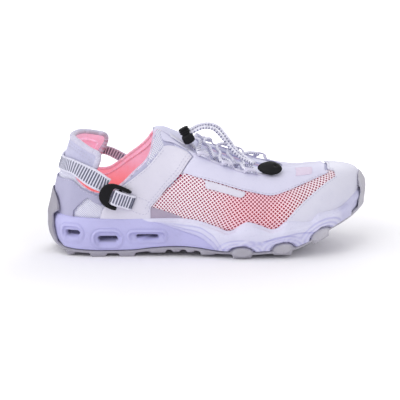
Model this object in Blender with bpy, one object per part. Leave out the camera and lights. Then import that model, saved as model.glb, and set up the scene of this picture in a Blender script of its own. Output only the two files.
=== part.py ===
"""A closed-toe hiking sandal for the right foot, as the separate pieces a maker would join.

Frame: +X points at the toe, +Y at the inner side of the foot, +Z up, and the floor is z = 0.
Sizes in the tables are millimetres, and each mesh is scaled to metres when it is finished.

Two numbers place a point on the upper. "Round" counts the rows of LAST, from the heel (0)
along the outer side to the toe (9) and back along the inner side to the heel (18). "Rise" runs
from the edge at the sole (0) to the edge of the collar and throat (1).
"""

from collections import namedtuple
from math import atan2, ceil, cos, floor, pi, sin

import bmesh
import bpy
from mathutils import Matrix, Vector

MILLIMETRE = 0.001
UP = Vector((0, 0, 1))

# Driving sizes in millimetres
GAP = 0.35
OVERLAY_GAP = 0.7
WALL = 2.2
COLLAR_PAD = 1.8
OVERLAY = 0.9
LABEL = 0.6
INSOLE = 4.0
RIM = 2.6
WEBBING = 1.5
LACE = 3.0
TONGUE = 2.6

# The last: plan is the sole's outline, inset places the upper's foot inside it, top is the edge
# of the opening, and out, up and shoulder bend the wall between them.
Last = namedtuple("Last", "plan_x plan_y inset top_x top_y top_z out up shoulder_x shoulder_y shoulder_z")
LAST = [
    Last(-135, 0, 8, -113, 0, 96.3, 3.5, 25, -7, 0, -22),  # heel back
    Last(-122, -25, 7, -106, -20, 94, 3, 24, -6, -4, -22),  # heel corner, outer side
    Last(-100, -34.5, 5.5, -88, -27.5, 86, 4, 20, -4, -5, -20),  # heel side
    Last(-65, -36, 5.5, -62, -28, 92, 4, 24, 0, -6, -24),  # quarter
    Last(-25, -38, 5.5, -41, -17, 103.5, 5, 26, 6, -12, -20),  # waist
    Last(10, -44.5, 5.5, -14, -18, 86, 5, 24, 10, -18, -2),  # behind the ball
    Last(42, -48.5, 5.5, 10, -20, 74.5, 5, 22, 15, -15, 3),  # ball
    Last(78, -44, 5.5, 36, -19, 66, 5, 24, 24, -14, 7),  # forefoot
    Last(112, -27, 6.5, 55, -10, 66.5, 7, 28, 40, -12, 10),  # toe corner
    Last(135, 9, 8, 60, 4, 66, 11, 29, 52, 3, 6),  # toe tip
    Last(119, 37, 6.5, 56, 14, 66.5, 7, 27, 42, 16, -5),  # toe corner, inner side
    Last(88, 47.5, 5.5, 37, 20, 69.5, 5, 24, 27, 18, -1.5),  # forefoot
    Last(54, 48.5, 5.5, 11, 20, 79, 5, 23, 18, 18, 0),  # ball
    Last(15, 39, 5.5, -14, 20, 89.5, 4, 26, 12, 15, -3),  # behind the ball
    Last(-25, 32, 5.5, -41, 18, 99.5, 4, 28, 6, 10, -20),  # waist
    Last(-65, 34, 5.5, -62, 28, 92, 4, 24, 0, 6, -24),  # quarter
    Last(-100, 34.5, 5.5, -86, 27.5, 93, 4, 20, -4, 5, -20),  # heel side
    Last(-122, 25, 7, -106, 20, 96.5, 3, 24, -6, 4, -22),  # heel corner
]
ROUNDS = len(LAST)
TOE = ROUNDS / 2

# Heights along the shoe, as rows of x and z
PLATFORM = [
    (-135, 27), (-90, 26), (-40, 24.5), (0, 20.5), (35, 18),
    (65, 19.5), (90, 26), (110, 33.5), (127, 41),
]
SOLE_EDGE = [
    (-135, 35), (-123, 33.4), (-97, 32.4), (-68, 31.2), (-31, 32), (-15, 31.5), (-6, 30),
    (7, 26), (18, 22.5), (31, 30), (41, 28), (51, 24.2), (57, 25.5), (63, 30), (83, 29),
    (89, 34.5), (108, 37.5), (125, 47), (135, 49),
]
MIDSOLE_BOTTOM = [
    (-135, 20), (-130, 13), (-124, 9.5), (-115, 7.2), (-100, 6.2), (-63, 6.2), (-46, 8),
    (-25, 9.2), (-8, 8.5), (6, 6.8), (20, 6.8), (45, 7), (71, 10), (83, 14.5), (99, 23),
    (111, 27.5), (121, 31), (135, 38),
]
PLATE = 2.6
PLATE_GAP = 0.65
EDGE_LIFT = 1.0
RIM_DROP = 0.6
WIDEST_AT = 0.45

# Mesh fineness: columns to a row of the last, and levels from sole to opening
COLUMNS = 3
LEVELS = 7
SOLE_COLUMNS = 6


def along(rows, x):
    """The height at x of a smooth curve through the rows of a table."""
    if x <= rows[0][0]:
        return rows[0][1]
    if x >= rows[-1][0]:
        return rows[-1][1]
    here = max(i for i, row in enumerate(rows) if row[0] <= x)

    def slope(i):
        before, after = rows[max(i - 1, 0)], rows[min(i + 1, len(rows) - 1)]
        return (after[1] - before[1]) / (after[0] - before[0])

    (x0, z0), (x1, z1) = rows[here], rows[here + 1]
    width = x1 - x0
    t = (x - x0) / width
    pull = slope(here) * width * (t**3 - 2 * t**2 + t) + slope(here + 1) * width * (t**3 - t**2)
    return z0 + (z1 - z0) * (3 * t**2 - 2 * t**3) + pull


def blend(p0, p1, p2, p3, t):
    """A smooth step from p1 to p2, with p0 and p3 as the neighbours."""
    bend = (2 * p0 - 5 * p1 + 4 * p2 - p3) * t**2 + (3 * p1 - p0 - 3 * p2 + p3) * t**3
    return p1 + ((p2 - p0) * t + bend) * 0.5


def last_at(round_):
    """The row of the last at any place round the foot."""
    here = floor(round_)
    rows = [LAST[(here + i) % ROUNDS] for i in (-1, 0, 1, 2)]
    return Last(*(blend(*column, round_ - here) for column in zip(*rows)))


def plan(round_):
    row = last_at(round_)
    return Vector((row.plan_x, row.plan_y, 0))


def outward(round_):
    """The direction in plan that leaves the sole's outline."""
    step = plan(round_ + 0.01) - plan(round_ - 0.01)
    return Vector((step.y, -step.x, 0)).normalized()


def upper_foot(round_):
    foot = plan(round_) - outward(round_) * last_at(round_).inset
    foot.z = along(PLATFORM, foot.x) + EDGE_LIFT
    return foot


def upper_point(round_, rise):
    """The outside of the upper, a bent wall from its foot to the edge of the opening."""
    row = last_at(round_)
    foot = upper_foot(round_)
    low = foot + outward(round_) * row.out + UP * row.up
    top = Vector((row.top_x, row.top_y, row.top_z))
    high = top + Vector((row.shoulder_x, row.shoulder_y, row.shoulder_z))
    fall = 1 - rise
    return foot * fall**3 + low * 3 * rise * fall**2 + high * 3 * rise**2 * fall + top * rise**3


def upper_normal(round_, rise):
    across = upper_point(round_ + 0.01, rise) - upper_point(round_ - 0.01, rise)
    climb = upper_point(round_, rise + 0.01) - upper_point(round_, rise - 0.01)
    return across.cross(climb).normalized()


def on_upper(round_, rise, offset):
    return upper_point(round_, rise) + upper_normal(round_, rise) * offset


def rise_where(round_, reached):
    """The rise at which reached(point) first holds on the wall, found by halving."""
    low, high = 0.0, 0.9
    for _ in range(22):
        middle = (low + high) / 2
        if reached(upper_point(round_, middle)):
            high = middle
        else:
            low = middle
    return high


def sole_edge_rise(round_):
    """The rise at which the upper comes out of the midsole's raised edge."""
    return rise_where(round_, lambda point: point.z >= along(SOLE_EDGE, point.x))


def round_at(x, inner):
    """The place round the foot where the sole's outline passes x, on one side."""
    low, high = 0.0, TOE
    for _ in range(22):
        middle = (low + high) / 2
        if plan(middle).x < x:
            low = middle
        else:
            high = middle
    return ROUNDS - low if inner else low


def smooth(points, steps=2):
    """A smooth curve through outline points, with the ends kept."""
    ends = [points[0], *points, points[-1]]
    curve = []
    for rows in zip(ends, ends[1:], ends[2:], ends[3:]):
        for step in range(steps):
            curve.append(tuple(blend(*column, step / steps) for column in zip(*rows)))
    return [*curve, points[-1]]


def across_toe(points):
    """An outline's stretch on the inner side of the foot, drawn the other way."""
    return [(ROUNDS - round_, rise) for round_, rise in reversed(points)]


def across_heel(points):
    """The same round the heel, where the inner side has rounds below zero."""
    return [(-round_, rise) for round_, rise in reversed(points)]


def above_sole(start, end, steps, lift=0.012):
    """Outline points that run along the midsole's raised edge."""
    places = [start + (end - start) * step / steps for step in range(steps + 1)]
    return [(place, sole_edge_rise(place) + lift) for place in places]


# Panels of the upper, as outlines of round and rise, read from the photograph's outer side
NOTCH = smooth([
    (1.92, 1.0), (2.03, 0.92), (1.99, 0.83), (1.90, 0.71), (1.76, 0.65), (1.55, 0.63), (1.38, 0.61),
    (1.46, 0.585), (1.70, 0.545), (1.95, 0.498), (2.20, 0.46), (2.45, 0.452), (2.64, 0.475), (2.84, 0.55),
    (3.12, 0.66), (3.48, 0.72), (3.66, 0.78), (3.80, 0.88), (3.93, 0.97), (4.02, 1.0),
])
INNER_NOTCH = smooth([
    (1.92, 1.0), (2.0, 0.92), (1.95, 0.83), (1.84, 0.70), (1.74, 0.62), (1.80, 0.555), (2.0, 0.53),
    (2.18, 0.53), (2.36, 0.55), (2.56, 0.62), (2.80, 0.72), (3.0, 0.785), (3.24, 0.83), (3.54, 0.88),
    (3.80, 0.95), (4.02, 1.0),
])
UPPER_OUTLINE = [
    (0, 0), (ROUNDS, 0), (ROUNDS, 1),
    *((ROUNDS - round_, rise) for round_, rise in INNER_NOTCH), *reversed(NOTCH), (0, 1),
]
BAND_FROM, BAND_TO = 2.36, 3.46
BAND_EDGE = [
    *smooth([(2.41, 0.17), (2.47, 0.25), (2.78, 0.485), (3.16, 0.60), (3.58, 0.665), (4.02, 0.77)]),
    *smooth([(4.10, 0.80), (4.42, 0.825), (4.72, 0.82)]),
    *smooth([(4.82, 0.775), (4.32, 0.54), (3.86, 0.385), (3.52, 0.23), (3.47, 0.17)]),
]
EYESTAY_TOP = smooth([
    (4.12, 0.975), (4.55, 0.90), (5.04, 0.835), (5.70, 0.795), (6.30, 0.745), (6.75, 0.745), (7.15, 0.80),
    (7.60, 0.90), (8.30, 0.965), (TOE, 0.975),
])
EYESTAY_EDGE = [
    *smooth([(4.12, 0.975), (4.10, 0.86), (4.44, 0.865), (4.78, 0.86)])[1:],
    *smooth([(4.86, 0.775), (4.37, 0.55)]),
    *smooth([
        (4.82, 0.535), (5.44, 0.515), (6.02, 0.48), (6.30, 0.455), (6.54, 0.44), (6.90, 0.47),
        (7.22, 0.495), (7.62, 0.515), (7.96, 0.515),
    ]),
    *smooth([(8.10, 0.52), (8.11, 0.58), (8.62, 0.695), (TOE, 0.73)]),
]
CAP_FROM, CAP_LIFT = 6.60, 0.03
CAP_EDGE = [
    *smooth([(TOE, 0.71), (8.68, 0.677), (8.22, 0.58), (8.24, 0.50)]),
    *smooth([(8.14, 0.43), (7.68, 0.395), (7.24, 0.32), (6.92, 0.245), (6.68, 0.17)]),
]
COUNTER_TO = 1.50
COUNTER_EDGE = [
    *smooth([(0, 0.50), (0.70, 0.515), (1.20, 0.55), (1.42, 0.545), (1.70, 0.502), (2.36, 0.405)]),
    *smooth([(2.42, 0.36), (2.36, 0.27)]),
    *smooth([(1.98, 0.385), (1.54, 0.17)]),
]
STRAP_TOP = smooth([(0, 0.755), (0.54, 0.77), (1.52, 0.81), (2.06, 0.78), (2.54, 0.63)])
STRAP_LOW = smooth([(0, 0.585), (0.80, 0.605), (1.30, 0.62), (1.70, 0.58), (2.16, 0.50), (2.36, 0.455)])
INNER_STRAP_TOP = smooth([(0, 0.755), (0.70, 0.785), (1.40, 0.825), (2.0, 0.82), (2.50, 0.78), (3.42, 0.56)])
INNER_STRAP_LOW = smooth([(0, 0.585), (0.70, 0.625), (1.40, 0.70), (1.96, 0.71), (2.42, 0.66), (3.28, 0.445)])
LABEL_EDGE = [
    *smooth([(4.90, 0.522), (5.44, 0.503), (5.94, 0.470)]),
    *smooth([(5.88, 0.435), (5.72, 0.405), (5.30, 0.425), (4.86, 0.44)]),
]

# Looks, by plain name: colour, roughness
LOOKS = {
    "midsole_foam": ((0.52, 0.50, 0.74), 0.55),
    "outsole_rubber": ((0.30, 0.29, 0.34), 0.7),
    "insole_foam": ((0.78, 0.25, 0.33), 0.9),
    "upper_fabric": ((0.70, 0.69, 0.82), 0.85),
    "tongue_fabric": ((0.68, 0.68, 0.84), 0.85),
    "overlay_film": ((0.66, 0.65, 0.82), 0.5),
    "band_synthetic": ((0.76, 0.75, 0.82), 0.55),
    "webbing": ((0.76, 0.75, 0.92), 0.8),
    "black_plastic": ((0.01, 0.01, 0.014), 0.4),
    "lace_cord": ((0.78, 0.77, 0.88), 0.8),
}


def clear_scene():
    for thing in list(bpy.data.objects):
        bpy.data.objects.remove(thing)


def material(look):
    if look in bpy.data.materials:
        return bpy.data.materials[look]
    colour, roughness = LOOKS[look]
    made = bpy.data.materials.new(look)
    made.use_nodes = True
    shader = made.node_tree.nodes["Principled BSDF"]
    shader.inputs["Base Color"].default_value = (*colour, 1)
    shader.inputs["Roughness"].default_value = roughness
    return made


def finish(mesh, name, look):
    """Turns a millimetre bmesh into a named object in metres."""
    bmesh.ops.recalc_face_normals(mesh, faces=mesh.faces)
    bmesh.ops.scale(mesh, vec=(MILLIMETRE,) * 3, verts=mesh.verts)
    data = bpy.data.meshes.new(name)
    mesh.to_mesh(data)
    mesh.free()
    made = bpy.data.objects.new(name, data)
    bpy.context.scene.collection.objects.link(made)
    if look:
        data.materials.append(material(look))
        data.shade_smooth()
    else:
        made.hide_render = True
        made.display_type = "WIRE"
    return made


def combine(target, tool, operation):
    change = target.modifiers.new(tool.name, "BOOLEAN")
    change.object = tool
    change.operation = operation
    change.solver = "MANIFOLD"


def slice_at(mesh, place, axis):
    normal = [0, 0, 0]
    normal[axis] = 1
    point = [place * part for part in normal]
    everything = [*mesh.verts, *mesh.edges, *mesh.faces]
    bmesh.ops.bisect_plane(mesh, geom=everything, dist=1e-4, plane_co=point, plane_no=normal)


def sheet(outline, inside, outside, columns, levels):
    """A closed sheet: a flat outline cut into cells, then laid between two surfaces."""
    mesh = bmesh.new()
    mesh.faces.new([mesh.verts.new((*point, 0)) for point in outline])
    for axis, fineness in enumerate((columns, levels)):
        reach = [point[axis] * fineness for point in outline]
        for step in range(ceil(min(reach)), floor(max(reach)) + 1):
            slice_at(mesh, step / fineness, axis)
    place = mesh.verts.layers.float_vector.new("place")
    for vert in mesh.verts:
        vert[place] = vert.co
        vert.co = outside(vert[place].x, vert[place].y)
    bmesh.ops.remove_doubles(mesh, verts=mesh.verts, dist=1e-3)
    grown = bmesh.ops.extrude_face_region(mesh, geom=mesh.faces[:], use_keep_orig=True)
    fresh = {part for part in grown["geom"] if isinstance(part, bmesh.types.BMVert)}
    for vert in mesh.verts:
        if vert not in fresh:
            vert.co = inside(vert[place].x, vert[place].y)
    return mesh


def panel(name, outline, inner, outer, look):
    """An overlay between two offsets of the upper."""
    mesh = sheet(
        outline,
        lambda round_, rise: on_upper(round_, rise, inner),
        lambda round_, rise: on_upper(round_, rise, outer),
        COLUMNS,
        LEVELS,
    )
    return finish(mesh, name, look)


def ring_solid(rings):
    """A closed body from rings that run from the heel round the toe, closed across the shoe."""
    mesh = bmesh.new()
    loops = [[mesh.verts.new(point) for point in ring] for ring in rings]
    count = len(loops[0])
    for low, high in zip(loops, loops[1:]):
        for i in range(count):
            following = (i + 1) % count
            mesh.faces.new((low[i], low[following], high[following], high[i]))
    for loop in (loops[0], loops[-1]):
        for i in range(count // 2):
            rung = (loop[i], loop[i + 1], loop[count - i - 1], loop[-i])
            mesh.faces.new(dict.fromkeys(rung))
    return mesh


def places(columns):
    return [step / columns for step in range(ROUNDS * columns)]


def outline_ring(columns, inset, height):
    """A ring inside the sole's outline, with its height worked out from x."""
    ring = []
    for round_ in places(columns):
        point = plan(round_) - outward(round_) * inset(round_)
        point.z = height(point.x)
        ring.append(point)
    return ring


def bottom(x):
    return along(MIDSOLE_BOTTOM, x)


# How far the midsole steps in at heel and toe, where the outsole wraps up over it
WRAP_RELIEF = 3.3
HEEL_RELIEF = (0.72, 1.2)
TOE_RELIEF = (0.52, 0.85)
TUCK = 1.8


def relief(round_):
    """The midsole's step in under the outsole's wraps."""
    from_heel = min(round_, ROUNDS - round_)
    from_toe = abs(round_ - TOE)
    depth = 0.0
    for distance, (full, none) in ((from_heel, HEEL_RELIEF), (from_toe, TOE_RELIEF)):
        share = min(max((none - distance) / (none - full), 0), 1)
        depth = max(depth, WRAP_RELIEF * share**2 * (3 - 2 * share))
    return depth


def midsole_rings():
    """Rings from the tray's floor, up inside its raised edge, over it and down the side wall."""
    floor_ring, inner_mid, inner_top, outer_top, outer_mid, widest = [], [], [], [], [], []
    for round_ in places(SOLE_COLUMNS):
        edge = sole_edge_rise(round_)
        foot = upper_foot(round_) + outward(round_) * GAP
        foot.z = along(PLATFORM, foot.x)
        crest = on_upper(round_, edge, GAP + RIM) - UP * RIM_DROP
        side = plan(round_) - outward(round_) * relief(round_)
        base = bottom(side.x)
        side.z = base + WIDEST_AT * (crest.z - base)
        floor_ring.append(foot)
        inner_mid.append(on_upper(round_, edge * 0.5, GAP))
        inner_top.append(on_upper(round_, edge, GAP))
        outer_top.append(crest)
        outer_mid.append((crest + side) / 2)
        widest.append(side)
    under = outline_ring(SOLE_COLUMNS, lambda round_: relief(round_) + TUCK, bottom)
    return [floor_ring, inner_mid, inner_top, outer_top, outer_mid, widest, under]


def capsule(length, height, depth):
    """A prism with round ends, lying along X, with its depth along Y."""
    mesh = bmesh.new()
    radius = height / 2
    reach = length / 2 - radius
    edge = []
    for side in (1, -1):
        for step in range(ARC_STEPS + 1):
            angle = side * pi / 2 - pi * step / ARC_STEPS
            edge.append((side * reach + radius * cos(angle), 0, radius * sin(angle)))
    cap = mesh.faces.new([mesh.verts.new(point) for point in edge])
    grown = bmesh.ops.extrude_face_region(mesh, geom=[cap], use_keep_orig=True)
    moved = [part for part in grown["geom"] if isinstance(part, bmesh.types.BMVert)]
    bmesh.ops.translate(mesh, vec=(0, depth, 0), verts=moved)
    return mesh


def add_to(mesh, piece):
    """Copies a second bmesh into the first."""
    data = bpy.data.meshes.new("step")
    piece.to_mesh(data)
    piece.free()
    mesh.from_mesh(data)
    bpy.data.meshes.remove(data)


# Side windows of the midsole: centre x and z, and length and height of frame and of slot
Window = namedtuple("Window", "x z frame_length frame_height slot_length slot_height")
WINDOWS = [
    Window(-111, 20, 16, 10.5, 11.5, 3),
    Window(-81, 15.5, 22, 12, 15, 3.2),
    Window(-49, 17.5, 28, 6.5, 16, 2.2),
]
FRAME_DEPTH = 1.3
SLOT_DEPTH = 5.0
CUT_CLEAR = 8.0
ARC_STEPS = 8


def window_cutter(name, depth, length, height):
    """One cutter for all windows of both sides, as deep as given from the side wall."""
    mesh = bmesh.new()
    for window in WINDOWS:
        for inner in (False, True):
            round_ = round_at(window.x, inner)
            wall = plan(round_) - outward(round_) * relief(round_)
            piece = capsule(length(window), height(window), depth + CUT_CLEAR)
            turn = Matrix.Rotation(atan2(outward(round_).y, outward(round_).x) + pi / 2, 4, "Z")
            wall.z = window.z
            move = Matrix.Translation(wall + outward(round_) * CUT_CLEAR)
            bmesh.ops.transform(piece, matrix=move @ turn, verts=piece.verts)
            add_to(mesh, piece)
    return finish(mesh, name, None)


# Side lugs: centre x, half length, height of the arch over the side wall, height of the foot
Lug = namedtuple("Lug", "x half arch foot")
SIDE_LUGS = [Lug(27.7, 9.8, 11, 0), Lug(60.4, 9.6, 14, 2.6), Lug(91, 9.4, 23.5, 12.5)]
HEEL_LUGS = [Lug(-113, 5, 0, 1.2), Lug(-90, 8.5, 0, 0), Lug(-66.5, 8.5, 0, 0)]
ARCH_RIBS = [Lug(-41, 8.5, 0, 3.2), Lug(-26, 5, 0, 4.2), Lug(-14.5, 4.6, 0, 3.8), Lug(0, 8, 0, 2.6)]
RIB_DEPTH = 12.0
LUG_REACH = 2.0
LUG_EDGE = 0.97
LUG_SHOULDER = 1.5
ARCH_LIFT = 0.6
LUG_DEPTH = 22.0
ARCH_DEEP = 6.2
CHEEK_TAPER = 0.8
RIDGE = 2.8
RIDGE_REACH = 0.9
RIDGE_LOW = 0.12
LUG_TAPER = 0.12
FLAT_UNDER = 4.0
MIDDLE_HALF = 7.5
MIDDLE_LUGS = [(-112, 1.2), (-90, 0), (-66, 0), (14, 0), (34, 0), (54, 2.2), (76, 6), (97, 17)]
WIDEST = 49.3


def slope_at(x):
    return atan2(bottom(x + 2) - bottom(x - 2), 4)


def block(x, half, y_from, y_to, foot):
    """A lug from its foot up into the plate, narrower at the foot, and square to a raised sole."""
    mesh = bmesh.new()
    bmesh.ops.create_cube(mesh, size=1)
    lean = Matrix.Rotation(-slope_at(x) if foot > FLAT_UNDER else 0, 4, "Y")
    top = Vector((x, 0, bottom(x) - GAP - PLATE / 2))
    size = Vector((2 * half, y_to - y_from, top.z - foot))
    for vert in mesh.verts:
        spread = 1 - LUG_TAPER if vert.co.z < 0 else 1
        along_x, across = vert.co.x * size.x * spread, vert.co.y * size.y * spread
        vert.co = top + lean @ Vector((along_x, across + (y_from + y_to) / 2, (vert.co.z - 0.5) * size.z))
    return mesh


def lug_arch(lug, inner, grow, reach, deep, low=-1.0, taper=1.0):
    """The rounded cheek of a side lug on the midsole's side wall, or a larger arch round it."""
    mesh = bmesh.new()
    bmesh.ops.create_cone(mesh, cap_ends=True, segments=16, radius1=1, radius2=taper, depth=1)
    side = 1 if inner else -1
    outer = min(abs(plan(round_at(lug.x, inner)).y) + reach, WIDEST + reach - LUG_REACH)
    centre = Vector((lug.x, side * (outer - deep / 2), (lug.arch + lug.foot) / 2 + ARCH_LIFT))
    radii = Vector((lug.half + grow, deep, (lug.arch - lug.foot) / 2 - ARCH_LIFT + grow))
    turn = Matrix.Rotation(-side * pi / 2, 4, "X")
    bmesh.ops.transform(mesh, matrix=turn, verts=mesh.verts)
    lean = Matrix.Rotation(-slope_at(lug.x), 4, "Y")
    for vert in mesh.verts:
        height = max(vert.co.z, low) * radii.z
        vert.co = centre + lean @ Vector((vert.co.x * radii.x, vert.co.y * radii.y, height))
    return mesh


def tread_pieces():
    """All lugs, as bodies that reach up into the outsole's plate."""
    pieces = []
    for lug in [*HEEL_LUGS, *ARCH_RIBS, *SIDE_LUGS]:
        depth = RIB_DEPTH if lug in ARCH_RIBS else LUG_DEPTH
        for inner in (False, True):
            edge = plan(round_at(lug.x, inner)).y * LUG_EDGE
            reach = edge - depth if inner else edge + depth
            half = lug.half - LUG_SHOULDER
            pieces.append(block(lug.x, half, min(edge, reach), max(edge, reach), lug.foot))
    for x, foot in MIDDLE_LUGS:
        middle = (plan(round_at(x, False)).y + plan(round_at(x, True)).y) / 2
        pieces.append(block(x, MIDDLE_HALF, middle - MIDDLE_HALF, middle + MIDDLE_HALF, foot))
    return pieces


# Outsole wraps: height, half width in rounds, and offsets of inside and outside from the upper
Wrap = namedtuple("Wrap", "z half inside outside")
HEEL_WRAP = [
    Wrap(11, 0.72, 3.9, 6.2), Wrap(16, 0.62, 4.3, 7.3), Wrap(22, 0.58, 5.05, 8.0),
    Wrap(33, 0.62, 5.05, 7.2), Wrap(35.9, 0.78, 3.8, 6.4), Wrap(37, 0.85, 2.2, 6.0),
    Wrap(45, 0.72, 2.2, 4.2), Wrap(51, 0.45, 2.2, 3.6), Wrap(54, 0.12, 2.2, 3.3),
]
TOE_WRAP = [
    Wrap(33, 0.46, 5.2, 6.3), Wrap(40, 0.42, 5.2, 7.0), Wrap(46, 0.40, 4.8, 6.5),
    Wrap(49.9, 0.40, 3.8, 5.7), Wrap(51.2, 0.40, 2.3, 5.4), Wrap(57, 0.38, 2.3, 4.5),
    Wrap(61, 0.30, 2.3, 3.6), Wrap(62.5, 0.12, 2.3, 3.3),
]
WRAP_COLUMNS, WRAP_LEVELS = 6, 0.18
WRAP_FOOT, WRAP_SINK = 1.6, 3.4
PLATE_INSET, PLATE_EDGE = 2.2, 0.9
POCKET, POCKET_DEEPER = 0.5, 2.0


def wrap_point(rows, column, round_, z):
    """A point of a wrap's inside or outside, measured out from the upper at that height."""
    foot = upper_foot(round_)
    if z > foot.z:
        foot = upper_point(round_, rise_where(round_, lambda point: point.z >= z))
    offset = along([(row.z, getattr(row, column)) for row in rows], z)
    reached = foot + outward(round_) * offset
    reached.z = z
    return reached


def wrap(name, rows, middle):
    right = [(middle + row.half, row.z) for row in rows[1:]]
    left = [(middle - row.half, row.z) for row in reversed(rows[1:])]
    foot = []
    for share in (-1, -0.5, 0, 0.5, 1):
        round_ = middle + rows[0].half * share
        foot.append((round_, bottom(plan(round_).x) - WRAP_FOOT - WRAP_SINK * (1 - share**2)))
    mesh = sheet(
        [*foot, *right, *left],
        lambda round_, z: wrap_point(rows, "inside", round_, z),
        lambda round_, z: wrap_point(rows, "outside", round_, z),
        WRAP_COLUMNS,
        WRAP_LEVELS,
    )
    return finish(mesh, name, None)


def outsole():
    insets = (PLATE_INSET, PLATE_EDGE, PLATE_INSET)
    drops = (PLATE_GAP, PLATE_GAP + PLATE / 2, PLATE_GAP + PLATE)
    rings = []
    for inset, drop in zip(insets, drops):
        rings.append(outline_ring(SOLE_COLUMNS, lambda round_, d=inset: d, lambda x, d=drop: bottom(x) - d))
    sole = finish(ring_solid(rings), "outsole", "outsole_rubber")
    for number, piece in enumerate(tread_pieces()):
        combine(sole, finish(piece, f"tread_{number}", None), "UNION")
    for number, lug in enumerate(SIDE_LUGS):
        for inner in (False, True):
            arch = lug_arch(lug, inner, 0, LUG_REACH, ARCH_DEEP, taper=CHEEK_TAPER)
            combine(sole, finish(arch, f"lug_arch_{number}_{inner}", None), "UNION")
    combine(sole, wrap("heel_wrap", HEEL_WRAP, 0), "UNION")
    combine(sole, wrap("toe_wrap", TOE_WRAP, TOE), "UNION")


def midsole():
    body = finish(ring_solid(midsole_rings()), "midsole", "midsole_foam")
    frames = window_cutter("frame_cutter", FRAME_DEPTH, lambda w: w.frame_length, lambda w: w.frame_height)
    slots = window_cutter("slot_cutter", SLOT_DEPTH, lambda w: w.slot_length, lambda w: w.slot_height)
    combine(body, frames, "DIFFERENCE")
    combine(body, slots, "DIFFERENCE")
    for number, lug in enumerate(SIDE_LUGS):
        for inner in (False, True):
            ridge = lug_arch(lug, inner, RIDGE, RIDGE_REACH, ARCH_DEEP, RIDGE_LOW)
            combine(body, finish(ridge, f"ridge_{number}_{inner}", None), "UNION")
            deep = ARCH_DEEP + POCKET_DEEPER + GAP
            pocket = lug_arch(lug, inner, POCKET, LUG_REACH + POCKET_DEEPER, deep)
            combine(body, finish(pocket, f"pocket_{number}_{inner}", None), "DIFFERENCE")


INSOLE_CLEAR, INSOLE_ROUND = 1.0, 1.2


def insole():
    def ring(extra, lift):
        return outline_ring(
            COLUMNS,
            lambda round_: last_at(round_).inset + WALL + INSOLE_CLEAR + extra,
            lambda x: along(PLATFORM, x) + lift,
        )

    rings = [ring(0, GAP), ring(0, INSOLE - INSOLE_ROUND), ring(INSOLE_ROUND, INSOLE)]
    finish(ring_solid(rings), "insole", "insole_foam")


# The collar's padding: the rises and the rounds from the heel over which it grows and fades
PAD_RISE = (0.80, 0.92)
PAD_ROUND = (2.3, 1.9)


def share_of(value, none, full):
    return min(max((value - none) / (full - none), 0), 1)


def collar_wall(round_, rise):
    """The wall's thickness, with the padding of the heel's collar added near its edge."""
    from_heel = min(round_ % ROUNDS, ROUNDS - round_ % ROUNDS)
    return WALL + COLLAR_PAD * share_of(rise, *PAD_RISE) * share_of(from_heel, *PAD_ROUND)


def upper():
    mesh = sheet(
        UPPER_OUTLINE,
        lambda round_, rise: on_upper(round_, rise, -collar_wall(round_, rise)),
        lambda round_, rise: on_upper(round_, rise, 0),
        COLUMNS,
        LEVELS,
    )
    finish(mesh, "upper", "upper_fabric")


# The tongue follows the inside of the throat. Its reach is in halves of the throat's width.
TONGUE_CLEAR = WALL + 1.6
TONGUE_CROWN = [(3.9, 2.5), (4.4, 7), (5.0, 10), (5.6, 6.5), (6.2, 3.5), (7, 2), (8.5, 1)]
TONGUE_FROM, TONGUE_TO = 3.90, 8.45
TONGUE_REACH = 1.4


def throat_point(round_, across, lift):
    """A point over the throat: across is -1 at its outer edge and 1 at its inner edge."""
    row = []
    for place, rise in ((round_, 0.80), (round_, 1.0), (ROUNDS - round_, 1.0), (ROUNDS - round_, 0.80)):
        row.append(on_upper(place, rise, -TONGUE_CLEAR))
    crown = (row[1] + row[2]) / 2 + UP * along(TONGUE_CROWN, round_)
    stations = [row[0] * 2 - row[1], row[0], row[1], crown, row[2], row[3], row[3] * 2 - row[2]]
    here = min(max(floor(across), -2), 1)
    point = blend(*stations[here + 2:here + 6], across - here)
    return point + UP * lift


def tongue_surface(depth):
    def place(round_, across):
        step = 0.02
        ahead = throat_point(round_ + step, across, 0) - throat_point(round_ - step, across, 0)
        aside = throat_point(round_, across + step, 0) - throat_point(round_, across - step, 0)
        return throat_point(round_, across, 0) - ahead.cross(aside).normalized() * depth

    return place


def tongue():
    outline = [
        *smooth([(TONGUE_FROM + 0.15, -TONGUE_REACH), (TONGUE_FROM, -0.7), (TONGUE_FROM, 0.7)]),
        (TONGUE_FROM + 0.15, TONGUE_REACH),
        (TONGUE_TO, TONGUE_REACH),
        (TONGUE_TO, -TONGUE_REACH),
    ]
    mesh = sheet(outline, tongue_surface(TONGUE), tongue_surface(0), COLUMNS, 3)
    finish(mesh, "tongue", "tongue_fabric")


def overlays():
    """The layers laid on the upper, each a step in front of it."""
    low, high = OVERLAY_GAP, OVERLAY_GAP + OVERLAY
    cap = [*CAP_EDGE, *above_sole(CAP_FROM, ROUNDS - CAP_FROM, 14, CAP_LIFT), *across_toe(CAP_EDGE)[:-1]]
    panel("toe_cap", cap, low, high, "overlay_film")
    inner_top = across_toe(EYESTAY_TOP)[::-1]
    eyestay = [*EYESTAY_EDGE, *across_toe(EYESTAY_EDGE)[1:], *inner_top, *EYESTAY_TOP[-2::-1]]
    panel("eyestay", eyestay, low, high, "overlay_film")
    band = [*BAND_EDGE, *above_sole(BAND_TO, BAND_FROM, 4)]
    panel("side_band_outer", band, low, high, "band_synthetic")
    panel("side_band_inner", across_toe(band), low, high, "band_synthetic")
    counter = [*COUNTER_EDGE, *above_sole(COUNTER_TO, -COUNTER_TO, 10), *across_heel(COUNTER_EDGE)[:-1]]
    panel("heel_counter", counter, low, high, "overlay_film")
    panel("label_tag", LABEL_EDGE, low, low + LABEL, "band_synthetic")


# The rounds on the inner side over which the strap climbs on to the band
STRAP_CLIMB = (-2.4, -2.75)


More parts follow.
